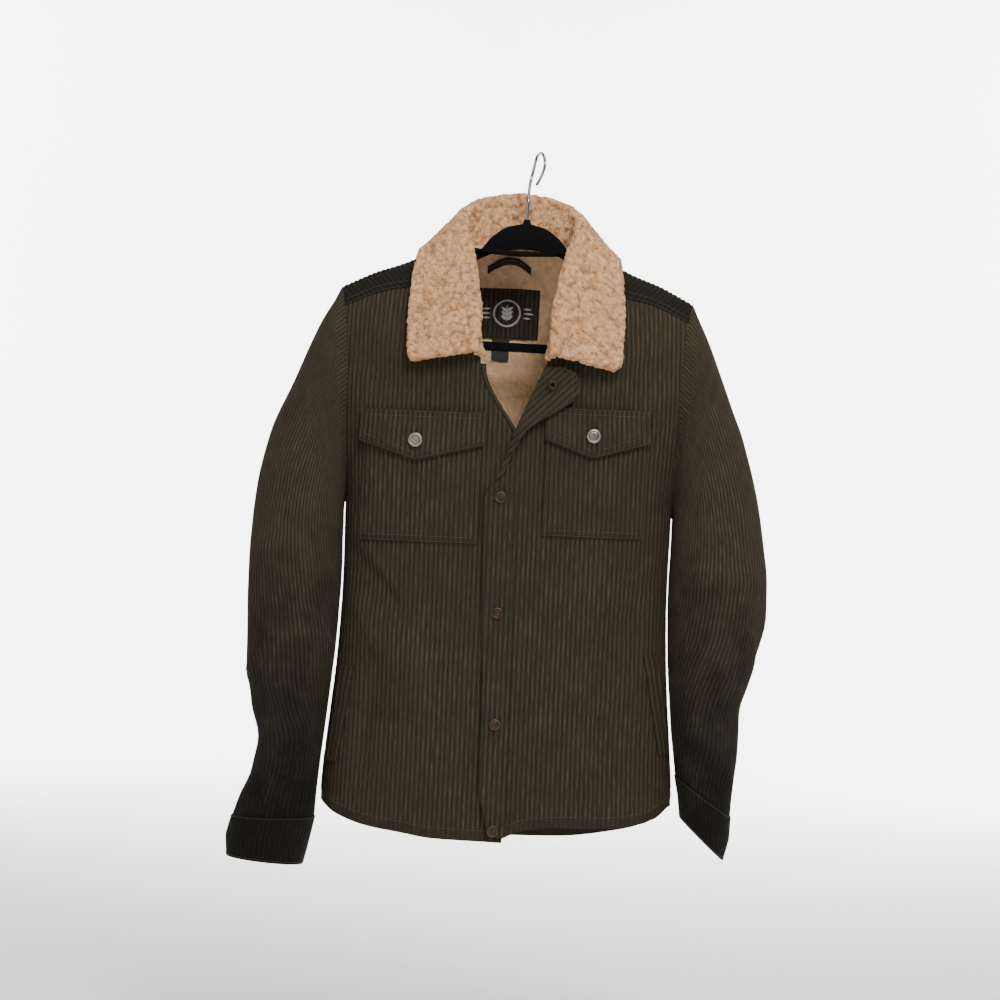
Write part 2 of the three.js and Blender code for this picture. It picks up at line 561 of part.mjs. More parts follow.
function collarSection(s) {
  const at = (key) => read(COLLAR, 's', key, s);
  const face = s < 0.445 ? FRONT : BACK;
  const sewn = shell(face, at('nx'), at('nz'));
  sewn[0] += -lean(at('nz'));
  const fold = [at('fx'), at('fy'), at('fz')];
  const edge = [at('ex'), at('ey'), at('ez')];
  const [toSewn, toEdge] = [unit(add(sewn, fold, -1)), unit(add(edge, fold, -1))];
  const plane = unit(cross(toSewn, toEdge));
  const away = unit(add(toSewn, toEdge)).map((c) => -c);
  let side = cross(plane, away);
  if (dot(side, toSewn) < 0) side = side.map((c) => -c);
  let inward = cross(plane, toSewn);
  if (dot(inward, toEdge) > 0) inward = inward.map((c) => -c);
  const root = add(add(sewn, inward, COLLAR_THICK / 2 + 1.2), toSewn, -0.8);
  const turnAt = (angle) =>
    add(add(fold, side, FOLD_RADIUS * Math.cos(angle)), away, FOLD_RADIUS * Math.sin(angle));
  const over = steps(4).map((k) => turnAt(Math.PI * k));
  const under = over[4];
  const fall = [0.33, 0.66, 1].map((k) => add(add(under, add(edge, under, -1), k), away, 9 * k * (1 - k)));
  const line = [root, add(root, add(over[0], root, -1), 0.5), ...over, ...fall];
  return line.map((p, i) => {
    const [before, after] = [line[Math.max(0, i - 1)], line[Math.min(line.length - 1, i + 1)]];
    return { p, n: unit(cross(plane, unit(add(after, before, -1)))) };
  });
}
const collarSections = [
  ...steps(14).map((s) => ({ s, sign: -1 })),
  ...steps(14).slice(0, -1).reverse().map((s) => ({ s, sign: 1 })),
];
const collarGrid = (move) => collarSections.map(({ s, sign }) => collarSection(s).map(({ p, n }) => {
  const q = add(p, n, move);
  return [sign * q[0] + COLLAR_LEAN, q[1], q[2]];
}));
piece('collar', wall(collarGrid(COLLAR_THICK / 2), collarGrid(-COLLAR_THICK / 2)), DYED.pile, 1);

// Inside the back neck: a corduroy patch, a small folded tab below it and a hanging loop above.
function onBack(name, { columns, down, place, start, thick, color }) {
  const layerAt = (inset) => grid(steps(down), steps(columns), (u, v) => {
    const { x, z, lift = 0 } = place(u, v);
    return shell(BACK, x - lean(z), z, inset + lift);
  });
  piece(name, wall(layerAt(start), layerAt(start + thick)), color);
}
const PATCH = { left: -60, right: 22, top: -158, low: -222 };
const onLining = LINING_END + YOKE_EASE + REST;
onBack('label_patch', {
  columns: 5, down: 5, start: onLining, thick: 1.8, color: DYED.patch,
  place: (u, v) => ({ x: mix(PATCH.left, PATCH.right, u), z: mix(PATCH.top, PATCH.low, v) }),
});
onBack('size_tab', {
  columns: 2, down: 2, start: onLining, thick: 0.8, color: '#1b1b1e',
  place: (u, v) => ({ x: mix(-36, -14, u), z: mix(PATCH.low - SEAM, -249, v) }),
});
onBack('neck_loop', {
  columns: 14, down: 1, start: onLining, thick: BAND_THICK, color: DYED.patch,
  place: (u, v) => {
    const arch = Math.sin(Math.PI * u);
    return { x: mix(-46, 9, u), z: -139 + 16 * arch + 9 * (1 - v), lift: 7 * arch };
  },
});

// Hanger: a flat flocked outline with an open triangle. Its arms follow the shoulders that they carry.
const HANGER_THICK = 5.6;
const ARM_CLEARANCE = CLOTH + 3.8;
const HANGER_REACH = 200;
const underShoulder = (x) => ridge(x - lean(-140)) - ARM_CLEARANCE;
const ARM_TOP = rows('x z', [[0, -84.6], [22, -89], [42, -103], [56, -119], [76, -124]]);
const ARM_FOOT = rows('x z', [[0, -115], [30, -119], [60, -132], [100, -149], [150, -171], [178, -186]]);
const ARM_TIP = rows('x z', [[200, -190], [200, -208], [193, -226], [178, -238], [160, -240]]);
const HOLE_TIP = rows('x z', [[187, -198], [185, -214], [172, -229]]);
const NECK = rows('x z', [[3.5, -79], [5, -84.8]]);
const ARM_STATIONS = [106, 130, 154, 178, HANGER_REACH - 6];
const toPoints = (list) => list.map(([x, z]) => new THREE.Vector2(x, z));
const plain = (table, sign = 1) => table.map(({ x, z }) => [sign * x, z]);
const halfOutline = (sign) => [
  ...plain([...NECK, ...ARM_TOP.slice(1)], sign),
  ...ARM_STATIONS.map((x) => [sign * x, underShoulder(sign * x)]),
  ...plain(ARM_TIP, sign),
];
const outline = new THREE.Shape(toPoints([...halfOutline(-1).reverse(), ...halfOutline(1)]));
const holeHalf = [...ARM_FOOT.slice(1), ...HOLE_TIP];
outline.holes.push(new THREE.Path(toPoints([
  ...plain(holeHalf, -1),
  ...plain(holeHalf).reverse(),
  ...plain(ARM_FOOT.slice(0, 1)),
])));
const hangerBody = new THREE.ExtrudeGeometry(outline, { depth: HANGER_THICK, bevelEnabled: false });
hangerBody.rotateX(Math.PI / 2);
hangerBody.translate(0, HANGER_THICK / 2, 0);
piece('hanger_body', hangerBody, DYED.velvet, 1);

// Hook: a round wire from the hanger's neck into an open bend, turned away from the picture's plane.
const WIRE = 1.9;
const HOOK_TURN = (-72 * Math.PI) / 180;
const HOOK_LINE = rows('out z', [
  [0, -78.5], [0, -66], [-1, -56], [-7, -46], [-15, -36], [-20, -24], [-19, -12], [-13, -2], [-3, 1.6],
  [8, 0.5], [17, -6], [21, -17], [19, -29], [13, -37],
]);
const hookPath = new THREE.CatmullRomCurve3(HOOK_LINE.map(({ out, z }) => {
  const leaning = HOOK_CONTACT_X * ease((z + 64) / 56);
  return new THREE.Vector3(out * Math.cos(HOOK_TURN) + leaning, out * Math.sin(HOOK_TURN), z);
}));
const wireSection = new THREE.Shape();
wireSection.absarc(0, 0, WIRE, 0, 2 * Math.PI);
piece('hanger_hook', new THREE.ExtrudeGeometry(wireSection, {
  extrudePath: hookPath, steps: 40, curveSegments: 4, bevelEnabled: false,
}), METAL.chrome, 0.2, 1);

jacket.position.x = -HOOK_CONTACT_X;
export default jacket;
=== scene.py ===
from math import ceil, cos, pi, radians, sin

import bpy
import numpy as np
from mathutils import Matrix, Vector


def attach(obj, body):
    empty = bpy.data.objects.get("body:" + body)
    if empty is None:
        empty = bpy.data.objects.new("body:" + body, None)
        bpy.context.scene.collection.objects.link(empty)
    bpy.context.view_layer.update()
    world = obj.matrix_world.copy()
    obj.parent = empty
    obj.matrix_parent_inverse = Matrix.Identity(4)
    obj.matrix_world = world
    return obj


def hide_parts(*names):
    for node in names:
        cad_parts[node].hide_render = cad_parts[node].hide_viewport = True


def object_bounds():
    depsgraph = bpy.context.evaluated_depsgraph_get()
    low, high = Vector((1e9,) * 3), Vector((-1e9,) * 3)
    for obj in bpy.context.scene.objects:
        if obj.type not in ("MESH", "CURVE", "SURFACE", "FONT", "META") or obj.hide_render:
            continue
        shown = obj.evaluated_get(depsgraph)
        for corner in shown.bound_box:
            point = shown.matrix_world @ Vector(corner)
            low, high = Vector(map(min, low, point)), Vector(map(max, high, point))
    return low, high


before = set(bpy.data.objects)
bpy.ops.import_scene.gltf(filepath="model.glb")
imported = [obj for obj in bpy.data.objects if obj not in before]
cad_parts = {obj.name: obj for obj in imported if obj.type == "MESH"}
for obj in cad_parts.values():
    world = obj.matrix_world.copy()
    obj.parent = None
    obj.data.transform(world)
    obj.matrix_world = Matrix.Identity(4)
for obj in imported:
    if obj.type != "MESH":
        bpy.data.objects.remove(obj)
cad_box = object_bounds()

# Camera: level with the jacket's chest and square to its front. It is rolled three degrees,
# because the hanger hung a little out of plumb. The picture takes in 1.2 m at the jacket.
PICTURE_WIDTH = 1.2
CAMERA_DISTANCE = 4.0
CAMERA_ROLL = radians(3)
PICTURE_CENTRE = Vector((-0.0269, -0.03, -0.4194))
camera = bpy.data.objects.new("camera", bpy.data.cameras.new("camera"))
bpy.context.scene.collection.objects.link(camera)
bpy.context.scene.camera = camera
camera.data.sensor_width = 36
camera.data.lens = camera.data.sensor_width * CAMERA_DISTANCE / PICTURE_WIDTH
camera_right = Vector((cos(CAMERA_ROLL), 0, sin(CAMERA_ROLL)))
camera_up = Vector((-sin(CAMERA_ROLL), 0, cos(CAMERA_ROLL)))
camera_back = camera_right.cross(camera_up)
turned = Matrix((camera_right, camera_up, camera_back)).transposed().to_4x4()
camera.matrix_world = Matrix.Translation(PICTURE_CENTRE + camera_back * CAMERA_DISTANCE) @ turned

# Fronts: two panels of dark olive wide-wale corduroy, from the yoke's seam to the curved hem.
# Their places are in millimetres from the hanger's neck, on the form of the CAD solids:
# a half-width and a depth at each height, an armhole and a ridge over the shoulders.
MM = 0.001
HOOK_CONTACT_X = 12
CLOTH = 2
REST = 0.9
SEAM = 0.4
RIDGE_DROP = 130
SECTION_POWER = 2.6
PIT_Z, TIP_Z = -430, -171
ARMHOLE_SHARE = 0.62
FRONT, BACK = -1, 1


def curve(*points):
    """A smooth reading of the second value of each point against the first, flat past both ends."""
    at, value = np.array(sorted(points), float).T
    slope = np.diff(value) / np.diff(at)
    before, after = slope[:-1], slope[1:]
    same_way = before * after > 0
    inner = np.where(same_way, 2 * before * after / np.where(same_way, before + after, 1), 0)
    tangent = np.concatenate([slope[:1], inner, slope[-1:]])

    def reading(where):
        where = np.clip(where, at[0], at[-1])
        i = np.clip(np.searchsorted(at, where, "right") - 1, 0, len(at) - 2)
        span = at[i + 1] - at[i]
        t = (where - at[i]) / span
        return ((1 + 2 * t) * (1 - t) ** 2 * value[i] + t * (1 - t) ** 2 * span * tangent[i]
                + t * t * (3 - 2 * t) * value[i + 1] + t * t * (t - 1) * span * tangent[i + 1])
    return reading


def ease(t):
    t = np.clip(t, 0, 1)
    return t * t * (3 - 2 * t)


def mix(a, b, t):
    return a + (b - a) * t


BODY = [  # height, half-width, depth in front, depth behind
    (-100, 196, 60, 58), (-250, 196, 64, 63), (-430, 196.5, 66, 68), (-520, 195.5, 66, 70),
    (-600, 198, 67, 72), (-700, 206, 70, 76), (-760, 211, 73, 80), (-830, 213, 75, 83),
]
half_below = curve(*[(z, half) for z, half, _, _ in BODY])
front_depth = curve(*[(z, front) for z, _, front, _ in BODY])
back_depth = curve(*[(z, back) for z, _, _, back in BODY])
ridge_line = curve((0, -60), (40, -82), (85, -117), (114, -128), (137, -139), (172, -152),
                   (203, -167), (213, -172))
armhole_x = curve((-171, 211), (-190, 208), (-220, 203.5), (-245, 201), (-285, 199), (-335, 199),
                  (-410, 197), (-430, 196.5))


def lean(z):
    return -7 + 6 * np.clip((-130 - z) / 670, 0, 1)


def half_width(z):
    down = np.clip((-200 - z) / (-200 - PIT_Z), 0, 1)
    arm = ARMHOLE_SHARE * (1 - down ** 2.5) ** 0.6
    above = armhole_x(z) / (1 - arm ** SECTION_POWER) ** (1 / SECTION_POWER)
    return np.where(z <= PIT_Z, half_below(z), above)


def side_edge(z):
    return np.where(z > PIT_Z, armhole_x(z), half_below(z))


# Folds and creases, as listed: from (x1, z1) to (x2, z2), how wide and how high, hollows negative.
FOLDS = [
    (FRONT, -196, -500, -100, -590, 16, -5.2), (FRONT, -120, -560, -70, -800, 26, 5.2),
    (FRONT, -45, -430, -60, -640, 20, -3.9), (FRONT, 55, -470, 95, -800, 26, 5.2),
    (FRONT, 185, -470, 120, -620, 18, -5.2), (FRONT, 175, -240, 130, -320, 18, -3.9),
    (FRONT, -185, -250, -135, -310, 18, -3.9), (BACK, -150, -300, -80, -560, 26, -6.5),
    (BACK, 155, -320, 90, -600, 26, -6.5), (BACK, 10, -420, -20, -800, 34, 6.5),
    (BACK, 190, -480, 130, -560, 18, -5.2), (BACK, -190, -480, -120, -600, 18, -5.2),
]
CREASES = [
    (FRONT, -190, -478, -112, -560, 7, -4.4), (FRONT, -186, -470, -120, -545, 6, 3.4),
    (FRONT, -188, -545, -150, -600, 8, 3.1), (FRONT, 190, -455, 150, -540, 8, 4.1),
    (FRONT, 150, -520, 168, -640, 9, -3.4), (FRONT, -150, -610, -165, -760, 12, -4.1),
    (FRONT, 30, -620, 22, -790, 9, -2.7), (FRONT, 120, -640, 128, -790, 10, -3.7),
    (FRONT, -35, -640, -28, -800, 9, 3.1), (FRONT, -92, -500, -84, -660, 11, -3.1),
    (FRONT, 165, -215, 110, -275, 9, 3.1), (FRONT, -170, -225, -120, -280, 9, 2.9),
    (FRONT, 60, -345, 30, -420, 7, 2.5), (BACK, -60, -290, -30, -470, 12, -3.7),
    (BACK, 70, -280, 40, -480, 12, 3.7), (BACK, -186, -440, -110, -520, 10, 4.4),
    (BACK, 186, -450, 100, -540, 10, 4.1), (BACK, -110, -560, -120, -790, 13, 4.4),
    (BACK, 110, -600, 128, -800, 13, -4.8), (BACK, 50, -560, 62, -790, 11, 3.4),
]


def fold_rise(face, x, z):
    rise = np.zeros(np.broadcast(x, z).shape)
    for fold_face, x1, z1, x2, z2, width, height in FOLDS + CREASES:
        dx, dz = x2 - x1, z2 - z1
        t = np.clip(((x - x1) * dx + (z - z1) * dz) / (dx * dx + dz * dz), 0, 1)
        away = np.hypot(x - x1 - t * dx, z - z1 - t * dz) / width
        bump = height * np.exp(-away * away) * np.sin(pi * mix(0.12, 0.88, t))
        rise += np.where(face == fold_face, bump, 0)
    return rise * ease((side_edge(z) - np.abs(x)) / 14)


def shell(face, x, z, inset=0, seam=0):
    """Points of the body's cloth on one face, moved in by inset, or out where it is negative."""
    down = np.maximum(0, (ridge_line(np.abs(x)) - z) / RIDGE_DROP)
    rounded = (1 - np.clip(1 - down, 0, 1) ** 1.5) ** (1 / 1.5)
    half = half_width(z)
    across = np.minimum(1, np.abs(x) / half)
    bow = (1 - across ** SECTION_POWER) ** (1 / SECTION_POWER)
    depth = np.where(face == FRONT, front_depth(z), back_depth(z))
    rise = fold_rise(face, x, z) * rounded * np.minimum(1, bow * 1.4)
    y = np.maximum(seam / 2, (depth - inset) * rounded * bow + rise)
    return np.stack([x * (half - inset) / half + lean(z), face * y,
                     z - inset * np.maximum(0, 1 - down)], -1)


# The corduroy's grain: how far each place lies across the cloth from the centre line, in steps of cloth.
HEIGHTS = np.arange(-838.0, -111.0, 6.0)
REACH = np.arange(-330.0, 330.5, 1.5)


def grain_tables(face):
    places, grains = [], []
    for z in HEIGHTS:
        edge = float(side_edge(z))
        x = edge * np.sin(np.linspace(-pi / 2, pi / 2, 121))
        y = shell(face, x, np.full_like(x, z))[:, 1]
        arc = np.concatenate([[0], np.cumsum(np.hypot(np.diff(x), np.diff(y)))])
        arc -= arc[60]
        x = np.concatenate([[x[0] - 300], x, [x[-1] + 300]])
        arc = np.concatenate([[arc[0] - 300], arc, [arc[-1] + 300]])
        places.append(np.interp(REACH, arc, x))
        grains.append(np.interp(REACH, x, arc))
    return np.array(places), np.array(grains)


TABLES = {face: grain_tables(face) for face in (FRONT, BACK)}


def between(table, z, value):
    """The table read between its rows and columns."""
    row = np.clip((z - HEIGHTS[0]) / (HEIGHTS[1] - HEIGHTS[0]), 0, len(HEIGHTS) - 1.001)
    column = np.clip((value - REACH[0]) / (REACH[1] - REACH[0]), 0, len(REACH) - 1.001)
    i, j = row.astype(int), column.astype(int)
    u, v = row - i, column - j
    return ((1 - u) * ((1 - v) * table[i, j] + v * table[i, j + 1])
            + u * ((1 - v) * table[i + 1, j] + v * table[i + 1, j + 1]))


def place_at(face, z, grain):
    z, grain = np.broadcast_arrays(np.asarray(z, float), grain)
    return between(TABLES[face][0], z, grain)


def grain_at(face, z, x):
    z, x = np.broadcast_arrays(np.asarray(z, float), x)
    return between(TABLES[face][1], z, x)


# Wales: rounded ridges of pile with a narrow groove between them.
WALE = 5.8
WALE_HEIGHT = 1.0
GROOVE_DEPTH = 0.6               # below the solid's surface
WALE_STEPS = np.array([0, 0.14, 0.38, 0.62, 0.86])


def wale_columns(low, high):
    """Places across the cloth, five for each wale."""
    first, last = int(np.floor(low / WALE)), int(np.ceil(high / WALE))
    inner = (np.arange(first, last)[:, None] + WALE_STEPS).ravel() * WALE
    inner = inner[(inner > low + 0.3) & (inner < high - 0.3)]
    return np.concatenate([[low], inner, [high]])


def wale_inset(grain, share=1.0):
    """How far in from the solid's surface the pile lies; share flattens it, as under a seam."""
    phase = np.abs(2 * (grain / WALE - np.floor(grain / WALE)) - 1)
    return GROOVE_DEPTH - WALE_HEIGHT * (1 - phase ** 1.7) * share


def tidy_face(corners):
    """The face without corners that fall on each other, or nothing where it has no area left."""
    kept = [corners[k] for k in range(len(corners)) if corners[k] != corners[k - 1]]
    return kept if len(set(kept)) == len(kept) >= 3 else None


def closed_wall(name, outer, inner, grain, along, ring=False, press=None, plain_back=False):
    """A mesh of cloth with a thickness: two grids of points and the rim round them.
    Points that fall on each other at a trimmed edge become one. The UV map says how far each
    place lies across and along the cloth, in metres; the attribute press says where it is flattened.
    With plain_back, the whole inner side is."""
    row_count, column_count = outer.shape[:2]
    flat = lambda a: a.reshape(-1, *a.shape[2:])
    keys = np.round(flat(inner) * 500).astype(np.int64)
    _, first, same = np.unique(keys, axis=0, return_index=True, return_inverse=True)
    index = same.reshape(-1)[np.arange(row_count * column_count)].reshape(row_count, column_count)
    if ring:
        index = np.concatenate([index, index[:, :1]], 1)
    quads = np.stack([index[:-1, :-1], index[1:, :-1], index[1:, 1:], index[:-1, 1:]], -1).reshape(-1, 4)
    faces = [f for f in map(tidy_face, quads.tolist()) if f]
    used = {}
    for f in faces:
        for k in range(len(f)):
            used[(f[k - 1], f[k])] = True
    rim = [(a, b) for a, b in used if (b, a) not in used]
    count = len(first)
    points = np.concatenate([flat(outer)[first], flat(inner)[first]])
    whole = faces + [[k + count for k in reversed(f)] for f in faces]
    whole += [[b, a, a + count, b + count] for a, b in rim]
    touching = np.linalg.norm(points[:count] - points[count:], axis=1) < 0.001
    place = np.concatenate([np.arange(count), np.where(touching, np.arange(count), np.arange(count) + count)])
    whole = [tidy_face(place[f].tolist()) for f in whole]
    whole = [f for f in whole if f]
    corner = points[[f[0] for f in whole]]
    others = [points[[f[k] for f in whole]] for k in (1, 2)]
    if np.einsum("ij,ij->i", corner, np.cross(*others)).sum() < 0:
        whole = [f[::-1] for f in whole]
    mesh = bpy.data.meshes.new(name)
    moved = points - [HOOK_CONTACT_X, 0, 0]
    mesh.from_pydata((moved * MM).tolist(), [], whole)
    corners = np.zeros(len(mesh.loops), np.int32)
    mesh.loops.foreach_get("vertex_index", corners)
    cloth = np.tile(np.stack([flat(grain)[first], flat(along)[first]], -1) * MM, (2, 1))
    uv = mesh.uv_layers.new(name="cloth")
    uv.data.foreach_set("uv", cloth[corners].astype(np.float32).ravel())
    pressed = np.zeros(count) if press is None else flat(press)[first]
    attribute = mesh.attributes.new("press", "FLOAT", "POINT")
    behind = np.ones(count) if plain_back else pressed
    attribute.data.foreach_set("value", np.concatenate([pressed, behind]).astype(np.float32))
    mesh.shade_smooth()
    mesh.set_sharp_from_angle(angle=1.35)
    mesh.validate()
    piece = bpy.data.objects.new(name, mesh)
    bpy.context.scene.collection.objects.link(piece)
    return piece


class Tree:
    """Short names for the nodes of a material or of a geometry tree."""

    def __init__(self, tree):
        self.tree = tree

    def make(self, kind, inputs=(), **settings):
        node = self.tree.nodes.new(kind)
        for key, value in settings.items():
            setattr(node, key, value)
        for key, value in dict(inputs).items():
            if isinstance(value, bpy.types.NodeSocket):
                self.tree.links.new(value, node.inputs[key])
            else:
                node.inputs[key].default_value = value
        return node

    def math(self, operation, a, b=0.0, c=0.0):
        return self.make("ShaderNodeMath", {0: a, 1: b, 2: c}, operation=operation).outputs[0]

    def noise(self, where, scale, detail=3.0, roughness=0.5):
        values = {"Vector": where, "Scale": scale, "Detail": detail, "Roughness": roughness}
        return self.make("ShaderNodeTexNoise", values).outputs["Fac"]

    def stretched(self, where, scale):
        return self.make("ShaderNodeMapping", {"Vector": where, "Scale": scale}).outputs[0]

    def blend(self, share, a, b):
        node = self.make("ShaderNodeMix", data_type="RGBA")
        colours = (share, node.inputs["Factor"]), (a, node.inputs[6]), (b, node.inputs[7])
        for value, socket in colours:
            if isinstance(value, bpy.types.NodeSocket):
                self.tree.links.new(value, socket)
            else:
                socket.default_value = value
        return node.outputs[2]

    def range(self, value, low, high, to_low=0.0, to_high=1.0):
        values = {"Value": value, "From Min": low, "From Max": high, "To Min": to_low, "To Max": to_high}
        return self.make("ShaderNodeMapRange", values).outputs[0]


class Finish(Tree):
    """A new material and its Principled shader."""

    def __init__(self, name):
        self.material = bpy.data.materials.new(name)
        self.material.use_nodes = True
        self.shader = self.material.node_tree.nodes["Principled BSDF"]
        super().__init__(self.material.node_tree)

    def bump(self, height, distance, strength=1.0):
        values = {"Height": height, "Distance": distance, "Strength": strength}
        self.tree.links.new(self.make("ShaderNodeBump", values).outputs[0], self.shader.inputs["Normal"])

    def set(self, **values):
        for key, value in values.items():
            socket = self.shader.inputs[key.replace("_", " ")]
            if isinstance(value, bpy.types.NodeSocket):
                self.tree.links.new(value, socket)
            else:
                socket.default_value = value


def rgb(red, green, blue):
    """A colour given as it looks on a screen, from 0 to 255."""
    def linear(c):
        c /= 255
        return c / 12.92 if c <= 0.04045 else ((c + 0.055) / 1.055) ** 2.4
    return (linear(red), linear(green), linear(blue), 1)


def corduroy_material(name, groove, pile, wear_and_highlight, shaded=(-0.9, -1.0, 0.0)):
    """Cut pile: grooves darkened with painted shade, streaky ridges lighter on top partly from wear and partly as a
    painted highlight, and a soft sheen at grazing light.
    Between the two heights of shaded the colour is darkened towards black by up to that share, going down: painted
    shade."""
    n = Finish(name)
    cloth = n.make("ShaderNodeUVMap", uv_map="cloth").outputs[0]
    place = n.make("ShaderNodeTexCoord").outputs["Object"]
    across = n.make("ShaderNodeSeparateXYZ", {0: cloth}).outputs[0]
    turns = n.math("DIVIDE", across, WALE * MM)
    phase = n.math("ABSOLUTE", n.math("SUBTRACT", n.math("MULTIPLY", n.math("FRACT", turns), 2.0), 1.0))
    press = n.make("ShaderNodeAttribute", attribute_name="press").outputs["Fac"]
    streaks = n.noise(n.stretched(cloth, (700, 45, 1)), 1.0, 3)
    fibres = n.noise(n.stretched(cloth, (2600, 1500, 1)), 1.0, 2)
    patches = n.noise(place, 9.0, 4, 0.6)
    clouds = n.noise(place, 26.0, 3, 0.6)
    # Ridge tops lighter in streaks and patches: partly wear, partly a painted highlight on the crest of each wale.
    ridge_top = n.range(phase, 0.42, 0.05)
    wear_and_highlight_share = n.math("MULTIPLY", ridge_top, n.range(streaks, 0.42, 0.68))
    wear_and_highlight_share = n.math("MULTIPLY", wear_and_highlight_share, n.range(patches, 0.35, 0.68, 0.25, 1.0))
    tone = n.blend(n.range(n.math("ADD", streaks, clouds), 0.75, 1.3), pile[0], pile[1])
    ridge = n.blend(wear_and_highlight_share, tone, wear_and_highlight)
    # Painted shade: the grooves between the wales are darkened towards the groove colour, except where the cloth is
    # pressed flat.
    groove_shade_share = n.math("MULTIPLY", n.range(phase, 0.6, 1.0, 0.0, 0.8), n.math("SUBTRACT", 1.0, press))
    colour = n.blend(groove_shade_share, ridge, groove)
    colour = n.blend(n.math("MULTIPLY", press, 0.35), colour, groove)
    # Painted shade: below the first height of shaded the colour darkens towards black, reaching its share at the
    # second, along a wandering edge.
    height = n.make("ShaderNodeSeparateXYZ", {0: place}).outputs[2]
    painted_shade_height = n.math("MULTIPLY_ADD", n.math("SUBTRACT", clouds, 0.5), 0.3, height)
    high, low, share = shaded
    colour = n.blend(n.range(painted_shade_height, high, low, 0.0, share), colour, (0.0, 0.0, 0.0, 1.0))
    n.set(Base_Color=colour, Roughness=n.range(fibres, 0.3, 0.7, 0.82, 0.98))
    n.set(Specular_IOR_Level=0.18, Sheen_Weight=0.07, Sheen_Roughness=0.45)
    n.set(Sheen_Tint=rgb(150, 138, 104))
    height = n.math("MULTIPLY_ADD", streaks, 0.5, n.math("MULTIPLY", fibres, 0.6))
    n.bump(height, 0.0006, 0.7)
    return n.material


corduroy = corduroy_material(
    "olive_corduroy", rgb(18, 16, 11), (rgb(42, 37, 25), rgb(50, 44, 31)), rgb(76, 69, 49))
# The yoke's copy of the same corduroy in much darker tones: painted shade over the shoulders.
shaded_yoke_corduroy = corduroy_material(
    "shaded_yoke_corduroy", rgb(8, 7, 5), (rgb(22, 19, 14), rgb(26, 23, 17)), rgb(41, 37, 28))
# The sleeves' and cuffs' copy of the corduroy carries painted shade that darkens their lower parts.
shaded_sleeve_corduroy = corduroy_material(
    "shaded_sleeve_corduroy", rgb(18, 16, 11), (rgb(44, 39, 27), rgb(52, 47, 33)), rgb(82, 75, 55),
    shaded=(-0.46, -0.80, 0.9))


def dress(piece, material, nodes):
    """What every piece of cloth says about itself once its mesh is final."""
    piece.data.materials.append(material)
    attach(piece, "root")
    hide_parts(*nodes)


def trimmed_panel(name, face, grain, z, low_x, high_x, inset=0, thick=CLOTH, seam=SEAM, lift=None, press=None):
    """Cloth on one face of the body: columns follow the grain and rows the height, cut off at two
    edges that are given as places for each height. Press flattens the wales where it is 1."""
    x = np.clip(place_at(face, z, grain), low_x(z), high_x(z))
    real_grain = grain_at(face, z, x)
    raised = inset - (0 if lift is None else lift(x, z))
    pressed = np.zeros_like(x) if press is None else press(x, z)
    outer = shell(face, x, z, raised + wale_inset(real_grain, 1 - 0.85 * pressed), seam)
    inner = shell(face, x, z, raised + thick, seam)
    along = np.broadcast_to(-z, x.shape)
    return closed_wall(name, outer, inner, real_grain, along, press=pressed)


yoke_seam = curve((78, -157), (85, -158), (124, -169), (162, -177), (206, -196))
hem_line = {
    "right": curve((-9, -826), (72, -825), (114, -820), (153, -815), (193, -803), (213, -789)),
    "left": curve((-30, -830), (5, -822), (30, -811), (77, -805), (125, -804), (175, -797),
                  (200, -783), (213, -764)),
}
front_edge = {
    "right": curve((-157, 80), (-205, 60), (-253, 41), (-266, 40), (-337, -0.6), (-352, -9), (-830, -9)),
    "left": curve((-157, 80), (-205, 60), (-251, 40), (-330, 6), (-396, -17), (-414, -29.5), (-492, -28),
                  (-588, -24.5), (-684, -21.5), (-756, -21), (-810, -11), (-830, -4.5)),
}
HEM_BAND = 14
ROW_STEP = 8


def overlap_lift(x, z):
    """The left front's edge stands over the right one."""
    return 3.2 * ease((34 - x) / 18) * ease((-300 - z) / 40)


for side, sign in (("right", -1), ("left", 1)):
    columns = sign * wale_columns(-36, 292)
    start_out = np.clip(sign * place_at(FRONT, -175, columns), 78, 206)
    end_out = sign * place_at(FRONT, -812, columns)
    top, low = yoke_seam(start_out) - SEAM / 2, hem_line[side](end_out)
    row_count = ceil(680 / ROW_STEP)
    z = mix(top, low, np.linspace(0, 1, row_count)[:, None])
    edge = lambda z: front_edge[side](z)
    near, far = (lambda z: -side_edge(z), lambda z: -edge(z)) if sign < 0 else (edge, side_edge)
    hem_press = lambda x, z: ease((hem_line[side](sign * x) + HEM_BAND - z) / 3)
    front = trimmed_panel(f"front_{side}_cloth", FRONT, columns, z, near, far,
                          lift=overlap_lift if side == "left" else None, press=hem_press)
    dress(front, corduroy, [f"front_{side}"])

# Back: one corduroy panel from the yoke's seam to a shirt-tail hem that dips in the middle.
# It is sewn to the fronts at the sides and to the sleeves at the lower armholes.
BACK_YOKE_Z = -250
back_hem = curve((0, -832), (80, -829), (150, -817), (195, -799), (213, -778))
columns = wale_columns(-292, 292)
low = back_hem(np.abs(place_at(BACK, -812, columns)))
z = mix(BACK_YOKE_Z - SEAM / 2, low, np.linspace(0, 1, ceil(580 / ROW_STEP))[:, None])
back = trimmed_panel("back_cloth", BACK, columns, z, lambda z: -side_edge(z), side_edge,
                     press=lambda x, z: ease((back_hem(np.abs(x)) + HEM_BAND - z) / 3))
dress(back, corduroy, ["back"])

# Yoke: one piece over both shoulders. Its wales stand upright on the back, and where it folds
# forward over the sloping shoulders they slant in towards the neck.
FORWARD_SLANT = 0.72             # how far the grain runs towards the neck as it drops in front
NECK_SIDE = 85
neck_back = curve((0, -121), (40, -119.5), (66, -118), (82, -117.5), (85, -117))


def neck_front_x(z):
    t = np.clip((z + 156.8) / 39.8, 0, 1) ** (1 / 1.4)
    return 80 + 5 * ease(t)


